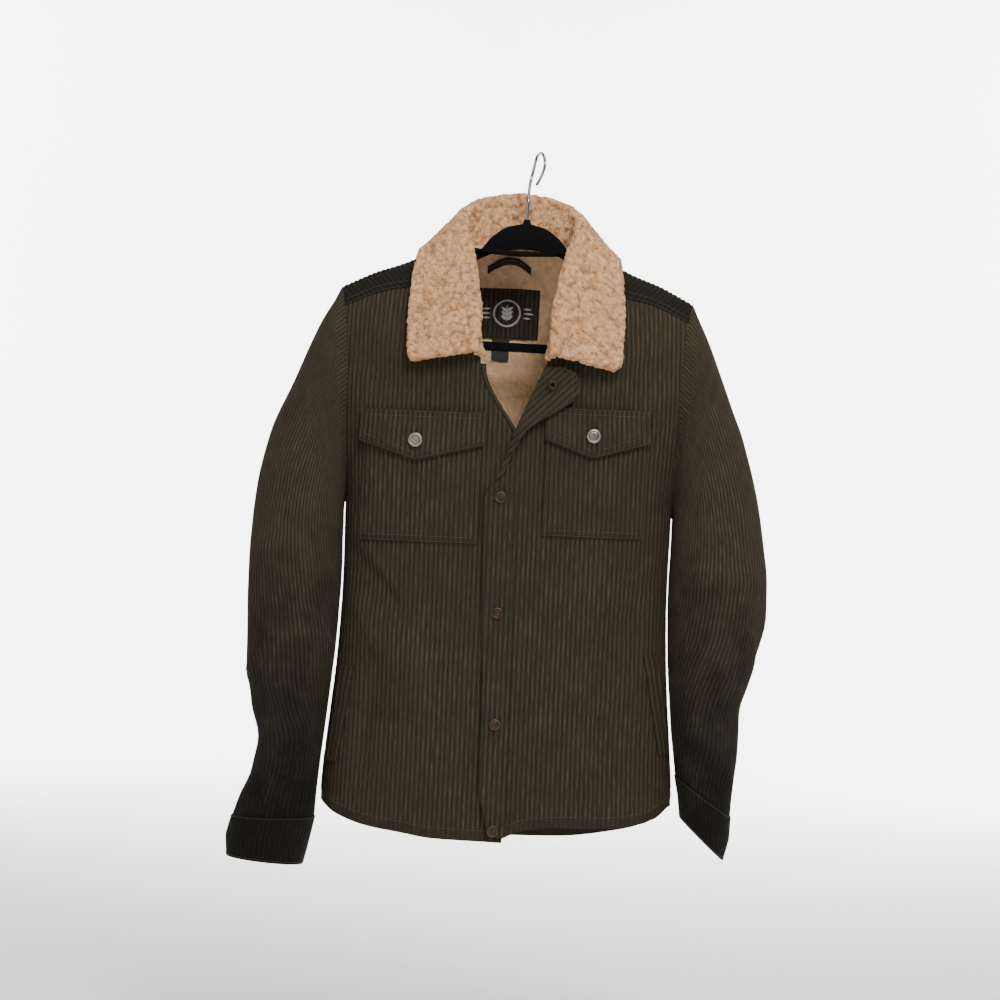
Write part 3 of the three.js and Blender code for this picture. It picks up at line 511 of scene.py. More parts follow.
def shoulder_angle(x, z):
    down = np.clip((ridge_line(np.abs(x)) - z) / RIDGE_DROP, 0, None)
    return np.where(down < 1, np.arccos(np.clip(1 - down, 0, 1) ** 0.75), pi / 2 + (down - 1) * 1.2)


def drop_at(angle):
    return RIDGE_DROP * np.where(angle < pi / 2, 1 - np.clip(np.cos(angle), 0, 1) ** (4 / 3),
                                 1 + (angle - pi / 2) / 1.2)


yoke_grain = wale_columns(-262, 262)
ridge_x = place_at(BACK, BACK_YOKE_Z, yoke_grain)
reach = np.abs(ridge_x)
top = np.where(reach < NECK_SIDE, np.minimum(neck_back(reach), ridge_line(reach)), ridge_line(reach))
back_angle = mix(shoulder_angle(reach, BACK_YOKE_Z + SEAM / 2), shoulder_angle(reach, top),
                 np.linspace(0, 1, 22)[:, None])
back_z = ridge_line(reach) - drop_at(back_angle)
back_x = np.broadcast_to(reach, back_z.shape)
deepest = np.full_like(reach, 30.0)
for _ in range(12):
    x = reach - FORWARD_SLANT * deepest
    deepest = ridge_line(x) - yoke_seam(x) - SEAM / 2
deepest = np.where(reach < NECK_SIDE, 0, deepest)
drop = drop_at(mix(0, shoulder_angle(reach, ridge_line(reach) - deepest), np.linspace(0, 1, 12)[1:, None]))
forward_x = reach - FORWARD_SLANT * drop
forward_z = np.where(reach < NECK_SIDE, top, ridge_line(forward_x) - drop)
forward_x = np.where(reach < NECK_SIDE, reach, np.maximum(forward_x, neck_front_x(forward_z)))
x = np.minimum(np.concatenate([back_x, forward_x]), armhole_x(np.concatenate([back_z, forward_z])))
z = np.concatenate([back_z, forward_z])
face = np.where(np.arange(len(z)) < len(back_z), BACK, FRONT)[:, None] * np.ones_like(x)
hanging = np.where(face == FRONT, np.clip(ridge_line(x) - z, 0, None), 0)
real_grain = np.sign(ridge_x) * grain_at(BACK, BACK_YOKE_Z, x + FORWARD_SLANT * hanging)
along = np.where(face == FRONT, hanging, -np.clip(ridge_line(x) - z, 0, None)) * 1.25
x = x * np.sign(ridge_x)
yoke = closed_wall("yoke_cloth", shell(face, x, z, wale_inset(real_grain)), shell(face, x, z, CLOTH),
                   real_grain, along)
dress(yoke, shaded_yoke_corduroy, ["yoke"])

# Sleeves: corduroy tubes set in at the armholes. Each section has an outermost point, an inner one
# under the arm, a half-depth and a place in depth. The wales follow the top line down to the cuff,
# and run off into the seam under the arm as the sleeve narrows.
SLEEVES = {
    "right": [  # outermost x, drop, inner x, drop, half-depth, middle
        (227, 190, 202.3, 434, 47, 0), (240, 216, 202.5, 441, 53, 0), (256, 253, 202.3, 450, 59, -1),
        (271, 290, 202, 461, 64, -2), (286, 326, 202, 474, 68, -3), (299, 366, 201.5, 489, 71, -4),
        (307.5, 410, 201, 508, 72, -6), (311.5, 455, 201, 530, 71, -8), (313, 500, 201.7, 554, 68, -10),
        (312.5, 545, 202.4, 581, 64, -12), (310.5, 590, 203.8, 610, 61, -15), (309, 632, 206.2, 642, 59, -18),
        (302, 676, 208.7, 676, 57, -21), (290, 718, 211.6, 711, 54, -25), (296, 758, 214.4, 746, 50, -29),
        (308, 788, 216.6, 780, 46, -33), (315, 811, 217.6, 808, 43, -36),
    ],
    "left": [
        (215, 192, 194, 434, 47, 0), (226, 217, 194, 441, 53, 0), (241, 253, 194, 450, 59, -1),
        (257, 290, 194, 461, 64, -2), (272, 327, 194, 474, 68, -3), (286, 369, 193.6, 489, 71, -4),
        (297, 412, 193.4, 508, 72, -6), (305, 457, 193.6, 530, 71, -8), (311.5, 502, 194.5, 554, 68, -10),
        (312.5, 545, 195.7, 581, 64, -12), (304.5, 592, 197.3, 608, 61, -15), (293, 634, 199.9, 636, 58, -18),
        (286, 676, 202.7, 664, 56, -21), (285.5, 708, 205.1, 688, 53, -24), (283, 736, 207.6, 706, 49, -27),
        (281, 762, 210, 723, 45, -29), (280, 783, 212, 738, 42, -31),
    ],
}
CUFFS = {
    "right": [(321, 835, 223, 838, 44, -38), (320, 860, 228, 866, 42, -40)],
    "left": [(279.5, 810, 217, 763, 43, -33), (274, 837, 219.5, 788, 41, -35)],
}
CUFF_PROUD = 1.5
ARMHOLE_SEAM = 1
SLEEVE_CREASES = [  # side, section and share of the way round at each end, width, height
    ("right", 3.0, 0.30, 5.4, 0.47, 0.030, 3.9), ("right", 5.2, 0.22, 7.4, 0.38, 0.026, -3.6),
    ("right", 7.6, 0.16, 9.0, 0.42, 0.030, 4.5), ("right", 9.0, 0.12, 10.6, 0.38, 0.026, -4.2),
    ("right", 10.8, 0.30, 12.6, 0.48, 0.022, 4.8), ("right", 12.6, 0.50, 13.2, 0.22, 0.030, -6.8),
    ("right", 13.4, 0.20, 14.6, 0.46, 0.022, 3.9), ("right", 14.4, 0.12, 15.4, 0.36, 0.022, -3.3),
    ("right", 1.0, 0.46, 4.0, 0.56, 0.040, 3), ("right", 6.2, 0.62, 8.4, 0.84, 0.030, 4.2),
    ("right", 9.4, 0.60, 11.2, 0.86, 0.028, -4.5), ("right", 12.4, 0.58, 13.4, 0.84, 0.028, -6),
    ("left", 2.6, 0.28, 5.0, 0.46, 0.030, 3.6), ("left", 5.0, 0.24, 7.6, 0.34, 0.028, -3.9),
    ("left", 7.4, 0.14, 9.2, 0.40, 0.028, 4.2), ("left", 9.4, 0.34, 11.0, 0.50, 0.026, -5.1),
    ("left", 10.6, 0.14, 12.2, 0.40, 0.026, 4.5), ("left", 12.4, 0.50, 13.2, 0.18, 0.028, -6.3),
    ("left", 13.6, 0.16, 15.2, 0.44, 0.022, 3.6), ("left", 1.2, 0.46, 4.2, 0.55, 0.040, 3),
    ("left", 6.0, 0.64, 8.0, 0.86, 0.030, -3.9), ("left", 9.2, 0.60, 11.0, 0.84, 0.028, 4.5),
    ("left", 12.2, 0.56, 13.6, 0.86, 0.028, -5.7),
]


def sleeve_ring(section, sign, angle, inset):
    """A place on a sleeve's section: angle 0 is under the arm, a half turn the outermost line."""
    ox, oz, ix, iz, deep, mid = section
    centre = np.stack([sign * (ox + ix) / 2, mid, -(oz + iz) / 2], -1)
    reach = np.stack([sign * (ox - ix) / 2, 0 * mid, -(oz - iz) / 2], -1)
    half = np.linalg.norm(reach, axis=-1)
    unit = reach / half[..., None]
    p = centre - unit * (np.cos(angle) * (half - inset))[..., None]
    p[..., 1] -= np.sin(angle) * (deep - inset)
    return p


def armhole_ring(sign, angle, inset):
    z = mix(PIT_Z, TIP_Z, (1 - np.cos(angle)) / 2)
    face = np.where(np.sin(angle) >= 0, FRONT, BACK)
    p = shell(face, sign * armhole_x(z), z, inset)
    return p + [sign * ARMHOLE_SEAM, 0, 0]


def sleeve_place(side, sign, station, angle, inset):
    """Station 0 is the armhole and each whole number after it one section of the table."""
    station, angle, inset = np.broadcast_arrays(station, angle, inset)
    sections = [curve(*enumerate(column, 1))(np.maximum(station, 1)) for column in zip(*SLEEVES[side])]
    p = sleeve_ring(sections, sign, angle, inset)
    joined = np.clip(station, 0, 1)[..., None]
    return np.where(joined < 1, mix(armhole_ring(sign, angle, inset), p, joined), p)


def sleeve_rise(side, station, angle):
    rise = np.zeros(np.broadcast(station, angle).shape)
    turn = angle / (2 * pi)
    for crease_side, s1, t1, s2, t2, width, height in SLEEVE_CREASES:
        if crease_side == side:
            a, b = (station - s1) * 0.075, turn - t1
            da, db = (s2 - s1) * 0.075, t2 - t1
            t = np.clip((a * da + b * db) / (da * da + db * db), 0, 1)
            away = np.hypot(a - t * da, b - t * db) / width
            rise += height * np.exp(-away * away) * np.sin(pi * mix(0.12, 0.88, t))
    return rise * ease(station - 0.4) * ease(16.6 - station)


TURN = np.linspace(0, 2 * pi, 181)
for side, sign in (("right", -1), ("left", 1)):
    stations = np.linspace(0, len(SLEEVES[side]), 74)
    plain = sleeve_place(side, sign, stations[:, None], TURN, 0.0)
    arc = np.concatenate([np.zeros((74, 1)), np.cumsum(np.linalg.norm(np.diff(plain, axis=1), axis=2), 1)], 1)
    arc -= arc[:, 90:91]
    grain = wale_columns(arc.min() - 1, arc.max() + 1)
    angle = np.array([np.interp(grain, row, TURN) for row in arc])
    real_grain = np.clip(grain, arc[:, :1], arc[:, -1:])
    line = plain[:, 90]
    length = np.concatenate([[0], np.cumsum(np.linalg.norm(np.diff(line, axis=0), axis=1))])
    station = stations[:, None]
    raised = -sleeve_rise(side, station, angle)
    sleeve = closed_wall(f"sleeve_{side}_cloth",
                         sleeve_place(side, sign, station, angle, raised + wale_inset(real_grain)),
                         sleeve_place(side, sign, station, angle, raised + CLOTH),
                         real_grain, np.broadcast_to(length[:, None], angle.shape))
    dress(sleeve, shaded_sleeve_corduroy, [f"sleeve_{side}"])

    end = np.array(SLEEVES[side][-1], float)
    level = np.array([-(end[3] - end[1]), 0, -(end[0] - end[2])])
    level /= np.linalg.norm(level)
    rings = [end] + [np.array(row, float) for row in CUFFS[side]]
    wales = round((arc[-1, -1] - arc[-1, 0]) / WALE)
    share = ((np.arange(wales)[:, None] + WALE_STEPS) / wales).ravel()
    angle = np.interp(share, (arc[-1] - arc[-1, 0]) / (arc[-1, -1] - arc[-1, 0]), TURN)
    outer, inner = [], []
    for v in np.linspace(0, 2, 13):
        i, t = min(int(v), 1), v - min(int(v), 1)
        section = [np.full_like(angle, c) for c in mix(rings[i], rings[i + 1], t)]
        proud = CUFF_PROUD * (1 - min(v, 1))
        puff = 1.2 * sin(pi * v / 2)
        for points, inset in ((outer, wale_inset(share * wales * WALE, 0.7)), (inner, CLOTH + 1)):
            p = sleeve_ring(section, sign, angle, inset - proud - puff)
            points.append(p + level * [sign, 0, 1] * SEAM * (v == 0))
    grain = np.broadcast_to(share * wales * WALE, (13, len(share)))
    cuff = closed_wall(f"cuff_{side}_cloth", np.array(outer), np.array(inner), grain,
                       np.broadcast_to(np.linspace(0, 60, 13)[:, None], grain.shape), ring=True)
    dress(cuff, shaded_sleeve_corduroy, [f"cuff_{side}"])

# Chest pockets and flaps: patches of the same corduroy laid on the fronts, each flap pointed.
POCKETS = {  # inner and outer edge, top, foot, top of the flap, its point
    "right": (-38.5, -178.5, -322, -474, -316.5, -114.5),
    "left": (35.5, 154, -312, -460, -305.5, 90),
}
POCKET_THICK, FLAP_THICK = 1.6, 2
FLAP_WING, FLAP_POINT, FLAP_OVERHANG = 40, 60, 2
POCKET_TILT = 0.01
FLAP_LIFT = 2.5
for side, (inner, outer, top, foot, flap_top, tip) in POCKETS.items():
    def hung(x, line):
        """A level line on the pocket, tilted a little outwards, from body places."""
        return line + POCKET_TILT * (x + lean(line) - inner)

    def flap_height(x, start, end):
        x = x + lean(flap_top)
        reach = np.where(np.abs(x - start) < abs(tip - start), (x - start) / (tip - start),
                         (end - x) / (end - tip))
        return mix(FLAP_WING, FLAP_POINT, np.clip(reach, 0, 1))

    low_x, high_x = sorted((inner, outer))
    columns = wale_columns(*np.sort(grain_at(FRONT, foot, np.array([low_x - 8, high_x + 10]))))
    at = place_at(FRONT, (top + foot) / 2, columns)
    z = mix(hung(at, top), hung(at, foot), np.linspace(0, 1, 22)[:, None])
    edge_press = lambda x, z: ease((foot + 5 - z) / 3)
    pocket = trimmed_panel(f"pocket_{side}_cloth", FRONT, columns, z, lambda z: low_x - lean(z),
                           lambda z: high_x - lean(z), inset=-(REST + POCKET_THICK), thick=POCKET_THICK,
                           seam=0, press=edge_press)
    dress(pocket, corduroy, [f"pocket_{side}"])
    over = FLAP_OVERHANG * np.sign(outer)
    start, end = inner - over, outer + over
    near, far = sorted((start, end))
    at = place_at(FRONT, flap_top - 30, columns)
    z = hung(at, flap_top) - flap_height(at, start, end) * np.linspace(0, 1, 16)[:, None]
    lift = lambda x, z: FLAP_LIFT * ease((hung(x, flap_top) - z) / flap_height(x, start, end))
    flap_press = lambda x, z: np.maximum(
        ease((z - hung(x, flap_top) + 4) / 3),
        ease((hung(x, flap_top) - flap_height(x, start, end) + 5 - z) / 3))
    level_two = -(2 * REST + POCKET_THICK + FLAP_THICK)
    flap = trimmed_panel(f"flap_{side}_cloth", FRONT, columns, z, lambda z: near - lean(z),
                         lambda z: far - lean(z), inset=level_two, thick=FLAP_THICK, seam=0,
                         lift=lift, press=flap_press)
    dress(flap, corduroy, [f"flap_{side}"])

# Placket: the overlapping band on the left front's edge, from below the open neck to the hem.
PLACKET_THICK = 1.6
PLACKET_TOP = -410
placket_edge = front_edge["left"]
columns = wale_columns(-32, 14)
z = mix(PLACKET_TOP, -826 + 8 * (columns + 32) / 46, np.linspace(0, 1, 56)[:, None])
placket = trimmed_panel(
    "placket_cloth", FRONT, columns, z, lambda z: placket_edge(z) + 0.5,
    lambda z: 8 + 0.35 * (placket_edge(z) + 28.5), inset=-(REST + PLACKET_THICK), thick=PLACKET_THICK,
    seam=0, lift=lambda x, z: overlap_lift(placket_edge(z) + 0.5, z),
    press=lambda x, z: np.maximum(ease((placket_edge(z) + 4 - x) / 3), ease((z - PLACKET_TOP + 5) / 3)))
dress(placket, corduroy, ["placket"])

# Turned-back top: the left front falls open below the collar and shows its corduroy facing.
# The fold turns the wales, so here they slant. The snap's socket sits near its free corner.
LAPEL_PROUD = 9
lapel_x = curve((0, 50), (0.08, 66), (0.17, 68.5), (0.55, 10), (1, -14))
lapel_z = curve((0, -258), (0.08, -267), (0.17, -284), (0.55, -338), (1, -392))
LAPEL_GRAIN = radians(44)


def lapel_grid(u, v, inset):
    fold_z = mix(-258, -396, v)
    fold_x = placket_edge(fold_z) + lean(fold_z) + 0.5
    x, z = mix(fold_x, lapel_x(v), u), mix(fold_z, lapel_z(v), u)
    lift = overlap_lift(x - lean(z), z) + LAPEL_PROUD * ease(u) * ease((1 - v) * 2)
    grain = x * cos(LAPEL_GRAIN) - z * sin(LAPEL_GRAIN)
    along = z * cos(LAPEL_GRAIN) + x * sin(LAPEL_GRAIN)
    raised = wale_inset(grain, 0.75) if inset is None else inset
    return shell(FRONT, x - lean(z), z, raised - REST - CLOTH - lift), grain, along


u, v = np.meshgrid(np.linspace(0, 1, 58), np.linspace(0, 1, 96))
outer, grain, along = lapel_grid(u, v, None)
lapel = closed_wall("lapel_cloth", outer, lapel_grid(u, v, CLOTH)[0], grain, along)
dress(lapel, corduroy, ["lapel"])

# Facing: a narrow corduroy band inside the right front's open edge.
FACING_WIDTH, FACING_SHOWS = 22, 6
grain = wale_columns(0, FACING_WIDTH)
z = np.linspace(-258, -350, 27)[:, None]
x = -(front_edge["right"](z) - FACING_SHOWS + grain)
inset = CLOTH + REST + wale_inset(grain + 0 * z, 0.8)
facing = closed_wall("facing_right_cloth", shell(FRONT, x, z, inset), shell(FRONT, x, z, CLOTH + REST + 1.6),
                     grain + 0 * z, -z + 0 * grain)
dress(facing, corduroy, ["facing_right"])

# Welts: slanted bands over the hand pockets on both fronts, sewn down along both long edges.
WELTS = {  # inner and outer corner at the top, its height, the same at the foot
    "right": (-178, -195, -627, -192, -205, -742),
    "left": (165, 183, -598, 189, 203, -714),
}
for side, (top_in, top_out, top_z, low_in, low_out, low_z) in WELTS.items():
    u = wale_columns(0, 17.4) / 17.4
    v = np.linspace(0, 1, 30)[:, None]
    x = mix(mix(top_in, top_out, u), mix(low_in, low_out, u), v)
    z = mix(top_z, low_z, v) + 0 * u
    grain, along = np.broadcast_to(u * 17.4, x.shape), np.broadcast_to(v * 116, x.shape)
    outer = shell(FRONT, x - lean(z), z, wale_inset(grain, 0.8) - REST - 1.6)
    welt = closed_wall(f"welt_{side}_cloth", outer, shell(FRONT, x - lean(z), z, -REST), grain, along)
    dress(welt, corduroy, [f"welt_{side}"])

# Linings: curly cream-tan pile behind the back and both fronts, hung a little freer behind the yoke.
# It shows inside the open neck. A Geometry Nodes tree pushes its clumps and curls out of the sheet.
PILE = 4
LINING_START = CLOTH + 1
LINING_END = LINING_START + PILE
YOKE_EASE = 1.3
LINING_REACH = 0.962


def pile_tree():
    """Clumps of pile and the curls on them, raised along the cloth's own outward direction."""
    group = bpy.data.node_groups.new("curly_pile", "GeometryNodeTree")
    group.interface.new_socket("Cloth", in_out="INPUT", socket_type="NodeSocketGeometry")
    for name in ("Clump Width", "Clump Height", "Curl Width", "Curl Height", "Twist"):
        group.interface.new_socket(name, in_out="INPUT", socket_type="NodeSocketFloat")
    group.interface.new_socket("Pile", in_out="OUTPUT", socket_type="NodeSocketGeometry")
    n = Tree(group)
    given = n.make("NodeGroupInput").outputs
    where = n.make("GeometryNodeInputPosition").outputs[0]
    wander = n.make("ShaderNodeTexNoise", {"Vector": where, "Scale": 170.0, "Detail": 2.0}).outputs["Color"]
    centred = n.make("ShaderNodeVectorMath", {0: wander, 1: (0.5, 0.5, 0.5)}, operation="SUBTRACT").outputs[0]
    twist = n.make("ShaderNodeVectorMath", {0: centred, 3: given["Twist"]}, operation="SCALE").outputs[0]
    twisted = n.make("ShaderNodeVectorMath", {0: where, 1: twist}, operation="ADD").outputs[0]

    def lumps(width, smooth):
        values = {"Vector": twisted, "Scale": n.math("DIVIDE", 1.0, width), "Smoothness": smooth}
        far = n.make("ShaderNodeTexVoronoi", values, feature="SMOOTH_F1").outputs["Distance"]
        return n.math("SUBTRACT", 0.62, far)

    clump, curl = lumps(given["Clump Width"], 0.25), lumps(given["Curl Width"], 0.15)
    pressed = n.make("GeometryNodeInputNamedAttribute", {"Name": "press"}).outputs[0]
    free = n.math("SUBTRACT", 1.0, pressed)
    high = n.math("MULTIPLY", clump, given["Clump Height"])
    high = n.math("ADD", high, n.math("MULTIPLY", curl, given["Curl Height"]))
    normal = n.make("GeometryNodeInputNormal").outputs[0]
    out = n.make("ShaderNodeVectorMath", {0: normal, 3: n.math("MULTIPLY", high, free)},
                 operation="SCALE").outputs[0]
    sideways = n.make("ShaderNodeVectorMath", {0: centred, 3: n.math("MULTIPLY", given["Twist"], 0.25)},
                      operation="SCALE").outputs[0]
    sideways = n.make("ShaderNodeVectorMath", {0: sideways, 3: free}, operation="SCALE").outputs[0]
    offset = n.make("ShaderNodeVectorMath", {0: out, 1: sideways}, operation="ADD").outputs[0]
    moved = n.make("GeometryNodeSetPosition", {"Geometry": given["Cloth"], "Offset": offset}).outputs[0]
    crown = n.math("MULTIPLY_ADD", clump, 0.8, n.math("MULTIPLY", curl, 0.7))
    kept = n.make("GeometryNodeStoreNamedAttribute",
                  {"Geometry": moved, "Name": "crown", "Value": crown}, data_type="FLOAT", domain="POINT")
    n.make("NodeGroupOutput", {"Pile": kept.outputs[0]})
    return group


def grown(piece, group, **values):
    """The piece after a Geometry Nodes tree has worked on it, as a plain mesh."""
    modifier = piece.modifiers.new("grown", "NODES")
    modifier.node_group = group
    for item in group.interface.items_tree:
        if item.in_out == "INPUT" and item.name in values:
            modifier[item.identifier] = values[item.name]
    bpy.context.view_layer.update()
    evaluated = piece.evaluated_get(bpy.context.evaluated_depsgraph_get())
    mesh = bpy.data.meshes.new_from_object(evaluated)
    mesh.name = piece.name
    piece.modifiers.remove(modifier)
    piece.data = mesh
    return piece


curly_pile = pile_tree()


def pile_material(name, painted_light_share):
    """Curly polyester pile: tan, with painted shade making it darker and warmer between the clumps, matt with a soft
    bloom.
    The second value is the share of cream blended in: painted light that brightens the lining."""
    n = Finish(name)
    place = n.make("ShaderNodeTexCoord").outputs["Object"]
    crown = n.make("ShaderNodeAttribute", attribute_name="crown").outputs["Fac"]
    curls = n.noise(place, 620.0, 3, 0.7)
    patches = n.noise(place, 22.0, 3)
    fine = n.make("ShaderNodeTexVoronoi", {"Vector": place, "Scale": 520.0}).outputs["Distance"]
    # Painted shade: the lower the pile lies between its clumps and curls, the darker and warmer its colour.
    depth = n.math("ADD", crown, n.math("MULTIPLY", n.math("SUBTRACT", curls, 0.5), 0.5))
    tone = n.blend(n.range(patches, 0.35, 0.7), rgb(212, 165, 120), rgb(226, 182, 138))
    tone = n.blend(n.range(depth, 0.12, 0.52), rgb(188, 140, 98), tone)
    tone = n.blend(n.range(depth, -0.18, 0.12), rgb(138, 98, 67), tone)
    # Painted light: cream blended into the colour by the given share.
    tone = n.blend(painted_light_share, tone, rgb(255, 220, 178))
    n.set(Base_Color=tone, Roughness=0.95, Specular_IOR_Level=0.12, Sheen_Weight=0.15)
    n.set(Sheen_Roughness=0.6, Sheen_Tint=rgb(235, 205, 168))
    n.bump(n.math("SUBTRACT", n.math("MULTIPLY", curls, 1.2), fine), 0.0012, 0.8)
    return n.material


collar_curls = pile_material("collar_pile", 0.0)
# The lining's copy of the pile is paler: painted light for the inside of the neck.
lit_lining_curls = pile_material("lit_lining_pile", 0.4)
LINING_CURL = {"Clump Width": 0.0075, "Clump Height": 0.0020, "Curl Width": 0.0040, "Curl Height": 0.0012,
               "Twist": 0.006}
lining_top = curve((0, -108), (60, -109), (85, -118), (125, -145), (170, -166), (203, -184))


def lining_inset(z, extra):
    return extra + YOKE_EASE * ease((z - BACK_YOKE_Z + 10) / 10)


columns = np.linspace(-262, 262, 147)
reach = np.abs(place_at(BACK, -190, columns))
low = BACK_YOKE_Z + LINING_REACH * (back_hem(np.abs(place_at(BACK, -812, columns))) - BACK_YOKE_Z)
rows = np.concatenate([np.linspace(0, 0.27, 60), np.linspace(0.27, 1, 66)[1:]])[:, None]
z = mix(lining_top(reach), low, rows)
x = np.clip(place_at(BACK, z, columns), -side_edge(z), side_edge(z))
lining = closed_wall("lining_back_pile", shell(BACK, x, z, lining_inset(z, LINING_END), SEAM),
                     shell(BACK, x, z, lining_inset(z, LINING_START), SEAM), grain_at(BACK, z, x), -z,
                     plain_back=True)
dress(grown(lining, curly_pile, **LINING_CURL), lit_lining_curls, ["lining_back"])
for side, sign in (("right", -1), ("left", 1)):
    columns = sign * np.linspace(20, 292, 60)
    end_out = sign * place_at(FRONT, -812, columns)
    z = mix(-196 + 0 * columns, -196 + LINING_REACH * (hem_line[side](end_out) + 196), np.linspace(0, 1, 112)[:, None])
    inner_edge = lambda z: 0.25 * side_edge(z) + 0.75 * front_edge[side](z) + 6
    near = (lambda z: -side_edge(z)) if sign < 0 else inner_edge
    far = (lambda z: -inner_edge(z)) if sign < 0 else side_edge
    x = np.clip(place_at(FRONT, z, columns), near(z), far(z))
    raised = -overlap_lift(x, z) if side == "left" else 0
    lining = closed_wall(f"lining_{side}_pile", shell(FRONT, x, z, raised + LINING_END, SEAM),
                         shell(FRONT, x, z, raised + LINING_START, SEAM), grain_at(FRONT, z, x), -z,
                         plain_back=True)
    dress(grown(lining, curly_pile, **LINING_CURL), lit_lining_curls, [f"lining_{side}"])

# Collar: one folded sheet of curly pile, sewn to the neckline. It stands up at the back, turns over
# a soft fold and falls as two long leaves in front. Its edges and corners are thick and round.
COLLAR_THICK = 7
FOLD_RADIUS = 4.5
COLLAR_LEAN = -6.5
CORNER_ROUND = 11
COLLAR = [  # share of the way to the back, neckline x z, fold x y z, free edge x y z
    (0, 40, -252, 49, -78, -247, 127, -76, -262), (0.11, 59.5, -205, 49, -71, -203, 129, -65, -226),
    (0.22, 78, -165, 54, -60, -167, 129, -52, -190), (0.33, 84, -135, 61, -42, -131, 127, -38, -158),
    (0.44, 85, -117, 70, -14, -98, 122, -12, -126), (0.55, 79, -115, 72, 9, -80, 118, 14, -125),
    (0.66, 66, -117, 60, 35, -65, 104, 42, -134), (0.8, 40, -120, 35, 51, -55, 70, 58, -134),
    (1, 0, -121, 0, 55, -51, 0, 64, -132),
]


def unit(v):
    return v / np.linalg.norm(v, axis=-1, keepdims=True)


def collar_lines(s):
    """The sheet's middle line at each share s, from the neckline over the fold to the free edge."""
    columns = [curve(*[(row[0], row[k]) for row in COLLAR])(s) for k in range(1, 9)]
    nx, nz, fx, fy, fz, ex, ey, ez = columns
    sewn = shell(np.where(s < 0.445, FRONT, BACK), nx, nz)
    sewn[:, 0] -= lean(nz)
    fold, edge = np.stack([fx, fy, fz], -1), np.stack([ex, ey, ez], -1)
    back_off = np.clip(1 - s / 0.035, 0, 1)
    edge -= unit(edge - fold) * (CORNER_ROUND * (1 - np.sqrt(1 - back_off ** 2)))[:, None]
    to_sewn, to_edge = unit(sewn - fold), unit(edge - fold)
    plane = unit(np.cross(to_sewn, to_edge))
    away = -unit(to_sewn + to_edge)
    side = np.cross(plane, away)
    side *= np.sign(np.sum(side * to_sewn, -1, keepdims=True))
    inward = np.cross(plane, to_sewn)
    inward *= -np.sign(np.sum(inward * to_edge, -1, keepdims=True))
    root = sewn + inward * (COLLAR_THICK / 2 + 1.2) - to_sewn * 0.8
    turn = lambda a: fold + FOLD_RADIUS * (side * cos(a) + away * sin(a))
    stand = [mix(root, turn(0), k) for k in np.linspace(0, 1, 38)[:-1]]
    over = [turn(a) for a in np.linspace(0, pi, 11)]
    fall = [mix(turn(pi), edge, k) + away * 9 * k * (1 - k) for k in np.linspace(0, 1, 46)[1:]]
    line = np.stack(stand + over + fall, 1)
    normal = unit(np.cross(plane[:, None], np.gradient(line, axis=1)))
    return line, normal


def rounded_ends(t, share):
    """Full thickness in the middle, rounding to nothing over a share of the length at each end."""
    near = np.clip(np.minimum(t, 1 - t) / share, 0, 1)
    return np.sqrt(1 - (1 - near) ** 2)


half = np.linspace(0, 1, 190)
half = 0.6 * half + 0.4 * half ** 1.5
share = np.concatenate([half, half[-2::-1]])
mirrored = np.concatenate([-np.ones(190), np.ones(189)])
line, normal = collar_lines(share)
across = np.concatenate([[0], np.cumsum(np.linalg.norm(np.diff(line, axis=1), axis=2).mean(0))])
lengthwise = np.concatenate([[0], np.cumsum(np.linalg.norm(np.diff(line[:, -1], axis=0), axis=1))])
thick = COLLAR_THICK / 2 * rounded_ends(across / across[-1], 0.03)
thick = thick * rounded_ends(lengthwise / lengthwise[-1], 0.006)[:, None]
sides = []
for move in (1, -1):
    p = line + normal * (move * thick)[..., None]
    p[..., 0] = p[..., 0] * mirrored[:, None] + COLLAR_LEAN
    sides.append(p)
collar = closed_wall("collar_pile", sides[0], sides[1], np.broadcast_to(across, thick.shape),
                     np.broadcast_to(lengthwise[:, None], thick.shape))
collar = grown(collar, curly_pile, **{"Clump Width": 0.0068, "Clump Height": 0.0027, "Curl Width": 0.0034,
                                      "Curl Height": 0.0019, "Twist": 0.0075})
dress(collar, collar_curls, ["collar"])

# Inside the back neck: a dark corduroy patch with a plain embroidered emblem, a small folded tab of
# woven tape below it, and a corduroy loop above it that bridges the pile.
ON_LINING = LINING_END + YOKE_EASE + REST
PATCH = (-60, 22, -158, -222)    # left, right, top, foot
PATCH_THICK = 1.8
TAB = (-36, -14, -222.4, -249)
LOOP = (-46, 9, -139, 16, 9, 7)  # left, right, height of its ends, rise, width, stand-off
patch_corduroy = corduroy_material(
    "patch_corduroy", rgb(22, 18, 14), (rgb(50, 42, 34), rgb(60, 51, 42)), rgb(84, 73, 60))


def on_back(x, z, inset):
    return shell(BACK, x - lean(z), z, inset)


def back_layer(name, x, z, near, thick, relief, grain, along):
    """A layer on the lining: its shown side faces the neck and carries the relief."""
    return closed_wall(name, on_back(x, z, near + thick + relief), on_back(x, z, near), grain, along,
                       plain_back=True)


left, right, top, foot = PATCH
grain = wale_columns(0, right - left)
x, z = np.meshgrid(left + grain, np.linspace(top, foot, 34))
edge = np.minimum(np.minimum(x - left, right - x), np.minimum(top - z, z - foot))
relief = -wale_inset(x - left, ease((edge - 1.5) / 2)) * 0.6
patch = back_layer("label_patch_cloth", x, z, ON_LINING, PATCH_THICK, relief, x - left, -z)
dress(patch, patch_corduroy, ["label_patch"])


